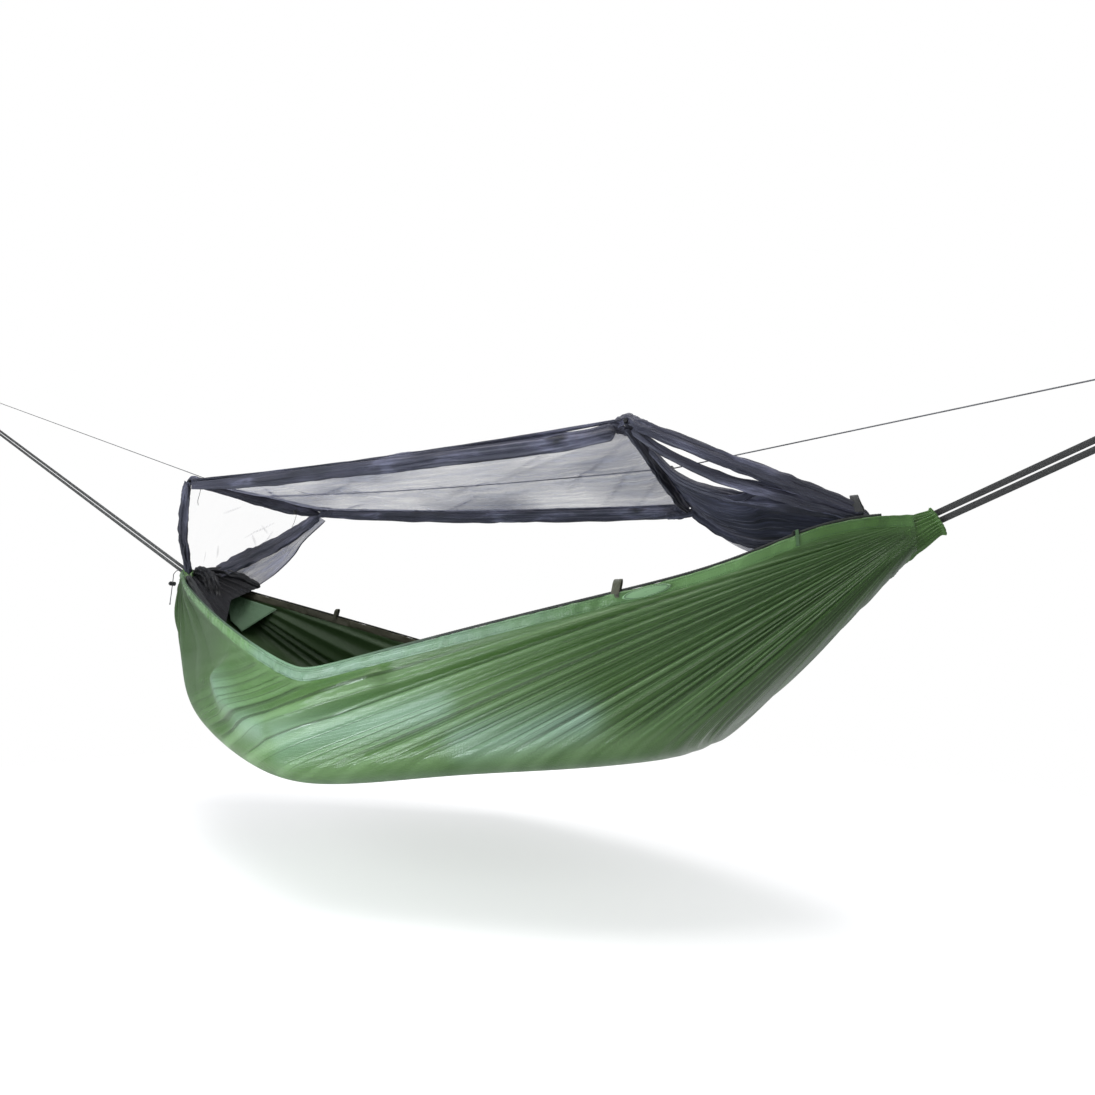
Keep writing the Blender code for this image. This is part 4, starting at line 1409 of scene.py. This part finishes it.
def bundle(
    name, places, widths, thicknesses, look, seed, folds=5, upright=(0, 1, 0), samples=140, relief=1.0
):
    """Net gathered into a soft rope of folds, along a smooth route through given places."""
    own = np.random.default_rng(seed)
    route = smooth_route(places, samples)
    _, side, rise = route_frames(route, upright)
    steps = np.linspace(0, 1, samples)
    angle = np.linspace(0, 2 * math.pi, 44, endpoint=False)
    drift = read_along(own.uniform(-1.1, 1.1, 9), steps)
    twist = read_along(own.uniform(-0.8, 0.8, 14), steps)
    lumps = read_along(own.uniform(-0.10, 0.10, 26), steps)
    reach = steps * lengths(np.diff(route, axis=0)).sum()
    end_taper = np.clip(np.minimum(reach, reach[-1] - reach) / 0.010, 0.05, 1) ** 0.5
    wide = read_along(widths, steps) * end_taper
    thick = read_along(thicknesses, steps) * end_taper
    lobe = 1 + lumps[:, None]
    lobe = lobe + 0.20 * relief * np.cos(folds * angle[None] + 2 * drift[:, None])
    lobe = lobe + 0.11 * relief * np.cos((2 * folds + 1) * angle[None] + 3 * twist[:, None])
    across = (wide[:, None] * lobe * np.cos(angle))[..., None] * side[:, None]
    through = (thick[:, None] * lobe * np.sin(angle))[..., None] * rise[:, None]
    return dress(tube_object(name, route[:, None] + across + through), look)


def net_sheet(name, edge_a, edge_b, look, seed, rests_on, folds, depth, sag=0.0, creases=()):
    """A net panel between two edges, with soft folds that run from one end of it to the other."""
    own = np.random.default_rng(seed)
    rows = 90
    first = smooth_route(edge_a, rows)
    second = smooth_route(edge_b, rows)
    share = np.linspace(0, 1, 80)
    grid = first[:, None] * (1 - share)[None, :, None] + second[:, None] * share[None, :, None]
    normal = np.cross(np.gradient(grid, axis=0), np.gradient(grid, axis=1))
    normal /= np.maximum(np.linalg.norm(normal, axis=-1, keepdims=True), 1e-9)
    steps = np.linspace(0, 1, rows)
    drift = read_along(own.uniform(-0.05, 0.05, 6), steps)
    warped = share[None] + drift[:, None] * np.sin(math.pi * share)[None]
    ridge, _ = ridges(warped, 0.0, 1.0, folds, seed)
    free = np.sin(math.pi * np.clip(share, 0, 1)) ** 0.5
    ease = np.sin(math.pi * (0.06 + 0.88 * steps)) ** 0.5
    offset = depth * (ridge - 0.4) * free[None] * ease[:, None]
    grid = grid + normal * offset[..., None]
    grid[..., 2] -= sag * (free[None] * ease[:, None]) ** 2
    obj = open_sheet(name, grid)
    width, length = declare_panel(grid)
    long_share, cross_share = np.meshgrid(steps, share, indexing="ij")
    fold = 2.2 * crease_lines(long_share, cross_share, (length, width), creases)
    keep_values(obj, "fold", fold)
    return dress(obj, look)


def hang(obj):
    """Bakes the placement of a piece of net, whose ends run from the roof to the fabric body, into its mesh.
    """
    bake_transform(obj)


def roof_place(along, side, rise=0.0):
    """A point of the roof: along is 0 at the head bar and 1 at the foot bar, side is -1 to 1."""
    head = roof_corner(-1, -1).lerp(roof_corner(-1, 1), (side + 1) / 2)
    foot = roof_corner(1, -1).lerp(roof_corner(1, 1), (side + 1) / 2)
    slack = -0.012 * 4 * along * (1 - along)
    return head.lerp(foot, along) + Vector((0, 0, slack + rise))


def settle_cloth(obj, pinned, frames, growth, most):
    """Lets a pinned net slacken under its own weight, and keeps the result in the mesh.

    growth is how much larger the cloth is cut than its frame, and most is the furthest a point may
    move from where it started.
    """
    scene = bpy.context.scene
    start = np.array([v.co for v in obj.data.vertices])
    group = obj.vertex_groups.new(name="sewn")
    group.add(pinned, 1.0, "REPLACE")
    cloth = obj.modifiers.new("settle", "CLOTH")
    cloth.settings.quality = 6
    cloth.settings.mass = 0.02
    cloth.settings.air_damping = 4
    cloth.settings.tension_stiffness = 12
    cloth.settings.compression_stiffness = 8
    cloth.settings.shear_stiffness = 3
    cloth.settings.bending_stiffness = 0.02
    cloth.settings.vertex_group_mass = "sewn"
    cloth.settings.shrink_min = -growth
    cloth.settings.effector_weights.gravity = 0.25
    cloth.point_cache.frame_start = 1
    cloth.point_cache.frame_end = frames
    for frame_number in range(1, frames + 1):
        scene.frame_set(frame_number)
    graph = bpy.context.evaluated_depsgraph_get()
    settled = bpy.data.meshes.new_from_object(obj.evaluated_get(graph))
    end = np.array([v.co for v in settled.vertices])
    scene.frame_set(1)
    obj.modifiers.remove(cloth)
    bpy.data.meshes.remove(settled)
    move = end - start
    far = np.linalg.norm(move, axis=1, keepdims=True)
    move *= np.minimum(1, most / np.maximum(far, 1e-9))
    obj.data.vertices.foreach_set("co", (start + move).astype(np.float32).ravel())
    obj.data.update()


# Creases of the roof: from and to, each (share of the way to the foot, -1 front to 1 back), and width
ROOF_CREASES = (
    ((0.99, -0.80), (0.80, 0.30), 0.006),
    ((0.98, -0.30), (0.84, 0.80), 0.005),
    ((0.99, 0.10), (0.90, 0.95), 0.004),
    ((0.97, -0.85), (0.66, -0.10), 0.007),
    ((0.90, -0.90), (0.74, -0.35), 0.005),
    ((0.70, -0.20), (0.50, 0.30), 0.006),
    ((0.62, 0.20), (0.45, 0.85), 0.005),
    ((0.42, -0.60), (0.22, -0.10), 0.006),
    ((0.30, 0.30), (0.12, 0.80), 0.005),
    ((0.16, -0.70), (0.03, 0.20), 0.004),
)


# Outline of the tape on the roof's seam, as across and up
SEAM_OUTLINE = ((-0.003, 0), (0.003, 0), (0.0034, 0.0009), (0.002, 0.0016), (-0.002, 0.0016),
                (-0.0034, 0.0009))


def crease_lines(along, across, scale, creases):
    """How far into a crease each point of a net is, from creases drawn in shares of its two sides."""
    fold = np.zeros(along.shape)
    for (from_along, from_side), (to_along, to_side), width in creases:
        path = np.array(((to_along - from_along) * scale[0], (to_side - from_side) * scale[1]))
        offset_x = (along - from_along) * scale[0]
        offset_y = (across - from_side) * scale[1]
        place = (offset_x * path[0] + offset_y * path[1]) / (path @ path)
        nearest = np.clip(place, 0, 1)
        away = np.hypot(offset_x - nearest * path[0], offset_y - nearest * path[1])
        fold = np.maximum(fold, peak(away, 0, width) * np.sin(math.pi * (0.08 + 0.84 * nearest)))
    return fold


def make_roof():
    """The see-through roof, sewn to its two bars and edges and slack between them."""
    rows = 150
    columns = 56
    length = ROOF_FOOT_X - ROOF_HEAD_X
    inset = SLEEVE * 0.8 / length
    side = 1 - ROLL_THICK * 0.7 / ROOF_HALF
    steps = np.linspace(inset, 1 - inset, rows)
    grid = np.empty((rows, columns, 3))
    for i, along in enumerate(steps):
        for j, across in enumerate(np.linspace(-side, side, columns)):
            grid[i, j] = roof_place(along, across, 0.0006)
    along, across = np.meshgrid(np.linspace(0, 1, rows), np.linspace(-1, 1, columns), indexing="ij")
    fold = crease_lines(along, across, (length, ROOF_HALF), ROOF_CREASES)
    wrinkle = np.abs(rows_of_noise(columns, rows, 12)) * 0.0012 + 0.005 * fold
    grid[1:-1, 1:-1, 2] += wrinkle[1:-1, 1:-1]
    obj = open_sheet("slack_roof_net", grid)
    index = np.arange(rows * columns).reshape(rows, columns)
    sewn = (index[0], index[-1], index[:, 0], index[:, -1], index[::6, columns // 2])
    pinned = np.unique(np.concatenate(sewn)).tolist()
    settle_cloth(obj, pinned, frames=26, growth=0.012, most=0.012)
    keep_values(obj, "fold", fold)
    dress(obj, "roof_net", NET_BODY, "roof_net")
    seam = []
    for along in steps:
        seam.append([roof_place(along, 0, 0.0016 + up) + Vector((0, wide, 0)) for wide, up in SEAM_OUTLINE])
    dress(tube_object("roof_seam_tape", np.array(seam)), "rolled_net", NET_BODY, "roof_centre_tape")


def make_door_rolls():
    """Each side door of the net, rolled up along the roof's edge, under a bound edge strip."""
    for name, side, seed in (("front", -1, 41), ("back", 1, 42)):
        places = []
        for along in (0.012, 0.15, 0.32, 0.5, 0.68, 0.82, 0.92, 0.985):
            sag = 0.008 * peak(along, 0.88, 0.09) if side < 0 else 0
            places.append(roof_place(along, side, -0.016 - sag))
        wide = (0.008, 0.0105, 0.0115, 0.012, 0.0125, 0.012, 0.010)
        tall = (0.012, 0.0155, 0.0175, 0.018, 0.0185, 0.018, 0.014)
        roll = bundle(f"{name}_rolled_door", places, wide, tall, "rolled_net", seed, 4, UP, 260)
        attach(roll, NET_BODY)
        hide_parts(f"{name}_door_roll")
        short = 0.0075 if side < 0 else -0.0035
        places = [roof_place(along, side, 0.002) for along in np.linspace(short, 1 - short, 9)]
        edge = bundle(f"{name}_roof_edge", places, (0.0065,), (0.0030,), "rolled_net", seed + 10, 3, UP, 200)
        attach(edge, NET_BODY)


def make_pole_sleeve(name, front, back):
    """A rippled fabric tube round a spreader pole, open at both ends."""
    samples = 90
    around = 28
    angle = np.linspace(0, 2 * math.pi, around, endpoint=False)
    route = np.array([front.lerp(back, s) for s in np.linspace(0.006, 0.994, samples)])
    _, side, rise = route_frames(route, (1, 0, 0))
    ripple = rows_of_noise(samples, 4, 40)
    lobe = 1 + 0.07 * ripple[np.arange(around) % 4].T
    lobe = lobe + 0.05 * np.cos(3 * angle)[None] * ripple[0][:, None]
    across = (lobe * np.cos(angle))[..., None] * side[:, None]
    outer = route[:, None] + SLEEVE * (across + (lobe * np.sin(angle))[..., None] * rise[:, None])
    bore = POLE + 0.0006
    ends = []
    for i in (samples - 1, 0):
        ring = np.cos(angle)[:, None] * side[i] + np.sin(angle)[:, None] * rise[i]
        ends.append(route[i] + bore * ring)
    rings = np.concatenate([outer, np.array(ends)])
    faces = grid_faces(samples + 2, around, wrap=True).tolist()
    last = (samples + 1) * around
    for k in range(around):
        j = (k + 1) % around
        faces.append((last + k, last + j, j, k))
    uvs = np.stack([rings[..., 1].ravel(), np.tile(angle * SLEEVE, len(rings))], -1)
    obj = mesh_object(f"{name}_pole_pocket", rings.reshape(-1, 3), faces, uvs)
    flip_outward(obj)
    dress(obj, "rolled_net", NET_BODY, f"{name}_pole_sleeve")


def make_pole_sleeves():
    """Fabric sleeves round the spreader poles, with the net's fold hanging under each."""
    for name, end, seed in (("head", -1, 51), ("foot", 1, 52)):
        front = roof_corner(end, -1)
        back = roof_corner(end, 1)
        make_pole_sleeve(name, front, back)
        drops = ((0.03, 0.010), (0.3, 0.014), (0.6, 0.021), (0.85, 0.023), (0.97, 0.016))
        places = [front.lerp(back, s) + Vector((-end * 0.004, 0, -drop)) for s, drop in drops]
        wide = (0.006, 0.007, 0.008, 0.008, 0.006)
        tall = (0.005, 0.008, 0.015, 0.016, 0.009)
        fold = bundle(f"{name}_bar_fold", places, wide, tall, "rolled_net", seed, 4, UP)
        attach(fold, NET_BODY)


# Routes of the net's edges and folds, in P-coordinates
HEAD_FRONT_EDGE = ((-0.784, -0.250, 0.214), (-0.870, -0.200, 0.156), (-0.944, -0.150, 0.091),
                   (-1.011, -0.090, 0.026), (-1.062, -0.045, -0.012))
HEAD_BACK_EDGE = ((-0.779, 0.250, 0.225), (-0.903, 0.190, 0.126), (-0.972, 0.125, 0.066),
                  (-1.055, 0.052, -0.002))
HEAD_FLAP_EDGE = ((-0.742, 0.250, 0.205), (-0.837, 0.240, 0.134), (-0.871, 0.225, 0.076),
                  (-0.912, 0.190, 0.009), (-0.963, 0.150, -0.046))
FOOT_FRONT_EDGE = ((0.646, -0.248, 0.150), (0.730, -0.220, 0.106), (0.794, -0.200, 0.073),
                   (0.865, -0.170, 0.040), (0.945, -0.130, 0.004), (1.030, -0.075, -0.034))
FOOT_FRONT_LOW = ((0.640, -0.236, 0.140), (0.690, -0.222, 0.096), (0.735, -0.208, 0.066),
                  (0.790, -0.188, 0.036), (0.850, -0.165, 0.014), (0.940, -0.120, -0.014),
                  (1.030, -0.070, -0.042))
FOOT_PANEL_FRONT = ((0.642, -0.070, 0.126), (0.700, -0.100, 0.068), (0.768, -0.130, 0.024),
                    (0.822, -0.155, 0.006), (0.865, -0.165, 0.014), (0.945, -0.125, -0.008),
                    (1.040, -0.045, -0.040))
FOOT_BACK_EDGE = ((0.640, 0.248, 0.088), (0.726, 0.220, 0.016), (0.809, 0.190, -0.024),
                  (0.900, 0.140, -0.044), (1.030, 0.060, -0.060))
FOOT_FLAP_EDGE = ((0.650, 0.250, 0.072), (0.728, 0.224, -0.006), (0.800, 0.196, -0.052),
                  (0.870, 0.172, -0.080), (0.940, 0.130, -0.086))
FOOT_MIDDLE_ROUTE = ((0.640, -0.130, 0.136), (0.700, -0.110, 0.066), (0.790, -0.120, 0.018),
                     (0.900, -0.100, -0.010), (1.040, -0.040, -0.036))
FOOT_INNER_ROUTE = ((0.640, 0.100, 0.108), (0.720, 0.085, 0.044), (0.820, 0.050, 0.002),
                    (0.930, 0.020, -0.022), (1.045, 0.0, -0.040))
FOOT_TAB_ROUTE = ((1.022, -0.092, -0.036), (1.017, -0.094, -0.016), (1.016, -0.092, -0.004),
                  (1.019, -0.088, -0.014), (1.026, -0.086, -0.036))
HEAD_BUNCH_ROUTE = ((-1.104, 0, -0.004), (-1.055, 0.002, -0.010), (-1.005, 0.004, -0.054),
                    (-0.960, -0.004, -0.125), (-0.935, -0.012, -0.200))
HEAD_DRAPE_BACK = ((-1.100, 0.012, 0.002), (-1.050, 0.054, 0.000), (-1.000, 0.092, -0.016),
                   (-0.918, 0.134, -0.050))
HEAD_DRAPE_MIDDLE = ((-1.102, 0.004, -0.010), (-1.066, 0.000, -0.025), (-1.005, 0.020, -0.062),
                     (-0.924, 0.030, -0.107))
HEAD_DRAPE_FRONT = ((-1.104, -0.022, -0.016), (-1.080, -0.030, -0.034), (-0.939, -0.070, -0.116),
                    (-0.803, -0.110, -0.182), (-0.690, -0.142, -0.232))
# Folds over the roof's corners, as steps inward along the hammock, across it and up from the corner
FRONT_CORNER = ((0.050, -0.010), (0.022, 0.001), (0.0, 0.0085), (-0.011, 0.001))
BACK_CORNER = ((0.070, -0.020), (0.030, -0.024), (0.0, -0.022), (-0.018, -0.018))
GUSSET = ((0.060, 0, -0.006), (0.024, 0.012, -0.006), (0.004, 0.050, -0.010))

# Creases of the head panel: from and to, each (share of the way down, 0 front to 1 back), and width
HEAD_PANEL_CREASES = (
    ((0.20, 0.74), (0.44, 0.62), 0.0035),
    ((0.30, 0.80), (0.46, 0.86), 0.0030),
    ((0.38, 0.64), (0.52, 0.82), 0.0030),
    ((0.26, 0.66), (0.34, 0.78), 0.0025),
    ((0.60, 0.42), (0.76, 0.52), 0.0035),
    ((0.70, 0.30), (0.84, 0.34), 0.0030),
    ((0.10, 0.40), (0.22, 0.30), 0.0025),
)


def end_bundle(name, route, wide, tall, seed, folds, node=None):
    """Bunched net between the roof and the body, at the end that its name starts with."""
    piece = bundle(name, points_of(*route), wide, tall, "rolled_net", seed, folds)
    hang(piece)
    if node:
        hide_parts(node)


def end_sheet(name, first, second, look, seed, folds, depth, node=None, sag=0.0, creases=()):
    """A net panel between the roof and the body, at the end that its name starts with."""
    sleeve = [f"{name[:4]}_pole_sleeve"]
    edges = (points_of(*first), points_of(*second))
    piece = net_sheet(name, *edges, look, seed, sleeve, folds, depth, sag, creases)
    hang(piece)
    if node:
        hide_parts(node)


# Bundles of each end net: name, route, half widths, half thicknesses, seed, folds and the node replaced
END_BUNDLES = (
    (
        "head_front_net_fold", HEAD_FRONT_EDGE,
        (0.022, 0.025, 0.022, 0.015), (0.009, 0.012, 0.012, 0.009), 61, 4, "head_front_net_band",
    ),
    (
        "head_back_net_fold", HEAD_BACK_EDGE,
        (0.018, 0.025, 0.031, 0.026), (0.008, 0.009, 0.011, 0.012), 62, 5, "head_back_net_band",
    ),
    ("head_flap_edge", HEAD_FLAP_EDGE, (0.0022,), (0.0016,), 65, 2),
    (
        "foot_front_net_fold", FOOT_FRONT_EDGE,
        (0.011, 0.012, 0.013, 0.012), (0.006, 0.007, 0.008, 0.008), 71, 5, "foot_front_net_band",
    ),
    (
        "foot_front_lower_fold", FOOT_FRONT_LOW,
        (0.007, 0.008, 0.010, 0.012, 0.010), (0.005, 0.006, 0.007, 0.008, 0.007), 72, 4,
    ),
    (
        "foot_back_net_fold", FOOT_BACK_EDGE,
        (0.013, 0.014, 0.015, 0.012), (0.006, 0.007, 0.008, 0.008), 73, 5, "foot_back_net_band",
    ),
    (
        "foot_middle_net_fold", FOOT_MIDDLE_ROUTE,
        (0.006, 0.009, 0.012, 0.012, 0.010), (0.005, 0.006, 0.007, 0.007, 0.006), 76, 4,
    ),
    (
        "foot_inner_net_fold", FOOT_INNER_ROUTE,
        (0.006, 0.010, 0.012, 0.012, 0.010), (0.005, 0.007, 0.008, 0.007, 0.006), 77, 4,
    ),
)


def make_end_nets():
    for row in END_BUNDLES:
        end_bundle(*row)
    end_sheet(
        "head_end_net", HEAD_FRONT_EDGE, HEAD_BACK_EDGE, "clear_net", 63, 9, 0.006,
        "head_net_panel", creases=HEAD_PANEL_CREASES,
    )
    end_sheet("head_door_flap", HEAD_BACK_EDGE, HEAD_FLAP_EDGE, "flap_net", 64, 6, 0.006)
    end_sheet(
        "foot_end_net", FOOT_PANEL_FRONT, FOOT_BACK_EDGE, "dense_net", 74, 14, 0.022,
        "foot_net_panel", sag=0.004,
    )
    end_sheet("foot_door_flap", FOOT_BACK_EDGE, FOOT_FLAP_EDGE, "flap_net", 75, 5, 0.005)


def webbing_loop(name, places, samples, width, thick):
    """A folded webbing tab, its width along X."""
    path = smooth_route(places, samples)
    _, side, _ = route_frames(path, (1, 0, 0))
    wide = np.array((1.0, 0, 0))
    rings = np.stack([path + wide * a + side * b for a, b in strap_section(width, thick)], axis=1)
    return dress(tube_object(name, rings), "webbing")


def make_net_tab():
    """The folded webbing tab sewn to the net where it meets the foot end."""
    hang(webbing_loop("foot_net_tab", points_of(*FOOT_TAB_ROUTE), 30, 0.014, 0.0018))


def make_corner_folds():
    """Net gathered over each corner of the roof, between the edge strip and the end fold."""
    corners = (
        ("head_front", -1, -1, HEAD_FRONT_EDGE),
        ("head_back", -1, 1, HEAD_BACK_EDGE),
        ("foot_front", 1, -1, FOOT_FRONT_EDGE),
        ("foot_back", 1, 1, FOOT_BACK_EDGE),
    )
    for name, end, side, edge in corners:
        corner = roof_corner(end, side)
        first, second = points_of(*edge[:2])
        over = FRONT_CORNER if side < 0 else BACK_CORNER
        places = [corner + Vector((-end * x, -side * 0.008, z)) for x, z in over]
        places += [first.lerp(second, 0.2), first.lerp(second, 0.5)]
        wide = (0.010, 0.010, 0.009, 0.009, 0.011, 0.008)
        tall = (0.012, 0.009, 0.0045, 0.007, 0.008, 0.005)
        fold = bundle(f"{name}_corner_fold", places, wide, tall, "rolled_net", 90 + end + 3 * side, 4)
        hang(fold)
        places = [corner + Vector((-end * x, -side * y, z)) for x, y, z in GUSSET]
        wide = (0.006, 0.009, 0.006)
        tall = (0.006, 0.011, 0.006)
        gusset = bundle(f"{name}_corner_gusset", places, wide, tall, "rolled_net", 120 + end + 3 * side, 3)
        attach(gusset, NET_BODY)


def make_head_net_mass():
    """The net's bunched black end, which drops from the gather into the head of the body."""
    wide = (0.012, 0.022, 0.026, 0.022, 0.014)
    tall = (0.010, 0.016, 0.020, 0.016, 0.010)
    places = points_of(*HEAD_BUNCH_ROUTE)
    mass = bundle("head_bunched_net", places, wide, tall, "black_net", 81, 9, relief=1.5)
    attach(mass, CLOTH_BODY)
    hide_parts("head_net_gather")
    wide = (0.008, 0.019, 0.018, 0.008)
    tall = (0.008, 0.013, 0.012, 0.005)
    fold = bundle("head_upper_net_bunch", points_of(*HEAD_DRAPE_BACK), wide, tall, "black_net", 84, 7)
    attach(fold, CLOTH_BODY)
    for name, first, second, seed in (
        ("upper", HEAD_DRAPE_BACK, HEAD_DRAPE_MIDDLE, 85),
        ("lower", HEAD_DRAPE_MIDDLE, HEAD_DRAPE_FRONT, 86),
    ):
        edges = (points_of(*first), points_of(*second))
        drape = net_sheet(f"head_{name}_net_drape", *edges, "black_net", seed, ["head_net_gather"], 6, 0.014)
        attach(drape, CLOTH_BODY)
    wide = (0.008, 0.014, 0.016, 0.013, 0.007)
    tall = (0.007, 0.012, 0.013, 0.011, 0.005)
    cuff = bundle("head_front_net_cuff", points_of(*HEAD_DRAPE_FRONT), wide, tall, "cuff_net", 83, 3)
    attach(cuff, CLOTH_BODY)


# The door tie's tab and cord, from the low side of the head bar, and the front cord, from the roll
TIE_TAB = ((-0.002, -0.005, 0.002), (0.001, -0.006, -0.014), (0.006, -0.001, -0.030),
           (0.003, 0.005, -0.014), (0.000, 0.004, 0.002))
BACK_TIE = ((0.004, 0.004, -0.004), (0.010, 0.008, -0.030), (0.002, 0.010, -0.056), (-0.006, 0.008, -0.076))
FRONT_TIE = ((0.0, 0.0, 0.0), (0.004, -0.004, -0.018), (0.001, -0.005, -0.038), (0.004, -0.004, -0.052))


def make_door_tie():
    """The webbing tab under the head bar and the thin cords that tie up the doors."""
    bar = roof_corner(-1, -1).lerp(roof_corner(-1, 1), 0.75)
    low = bar - Vector((0, 0, SLEEVE + 0.001))
    tab = webbing_loop("door_tie_tape", [low + Vector(step) for step in TIE_TAB], 36, 0.022, 0.0016)
    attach(tab, NET_BODY)
    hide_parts("door_tie_tab")
    front = roof_place(0.045, -1, -0.028)
    for name, start, steps in (("back", low, BACK_TIE), ("front", front, FRONT_TIE)):
        places = [start + Vector(step) for step in steps]
        route = [Vector(point) for point in smooth_route(places, 30)]
        cord = curve_object(f"{name}_door_tie_cord", route, TIE_CORD / 2)
        dress(cord, "black_cord", NET_BODY)


def make_net():
    make_roof()
    make_door_rolls()
    make_pole_sleeves()
    make_end_nets()
    make_head_net_mass()
    make_corner_folds()
    make_net_tab()
    make_door_tie()


# Materials of the CAD pieces that are shown as they are, by a word in the piece's name
NODE_LOOKS = {
    "zip_slider": "black_alloy",
    "zip_pull": "green_plastic",
    "carabiner_gate": "steel",
    "carabiner": "black_alloy",
    "spreader_pole": "black_alloy",
    "ridge_ring": "steel",
    "ridge_loop": "webbing",
    "cord_lock": "plastic",
}


def dress_nodes():
    for name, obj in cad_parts.items():
        looks = [look for word, look in NODE_LOOKS.items() if word in name]
        if looks:
            obj.data.materials.clear()
            obj.data.materials.append(materials[looks[0]])


make_camera()
materials = make_materials()
make_suspension()
make_studio()
surface = make_body()
make_hems()
make_gathers()
make_body_details(surface)
make_net()
bpy.context.scene.view_settings.view_transform = "Standard"
dress_nodes()
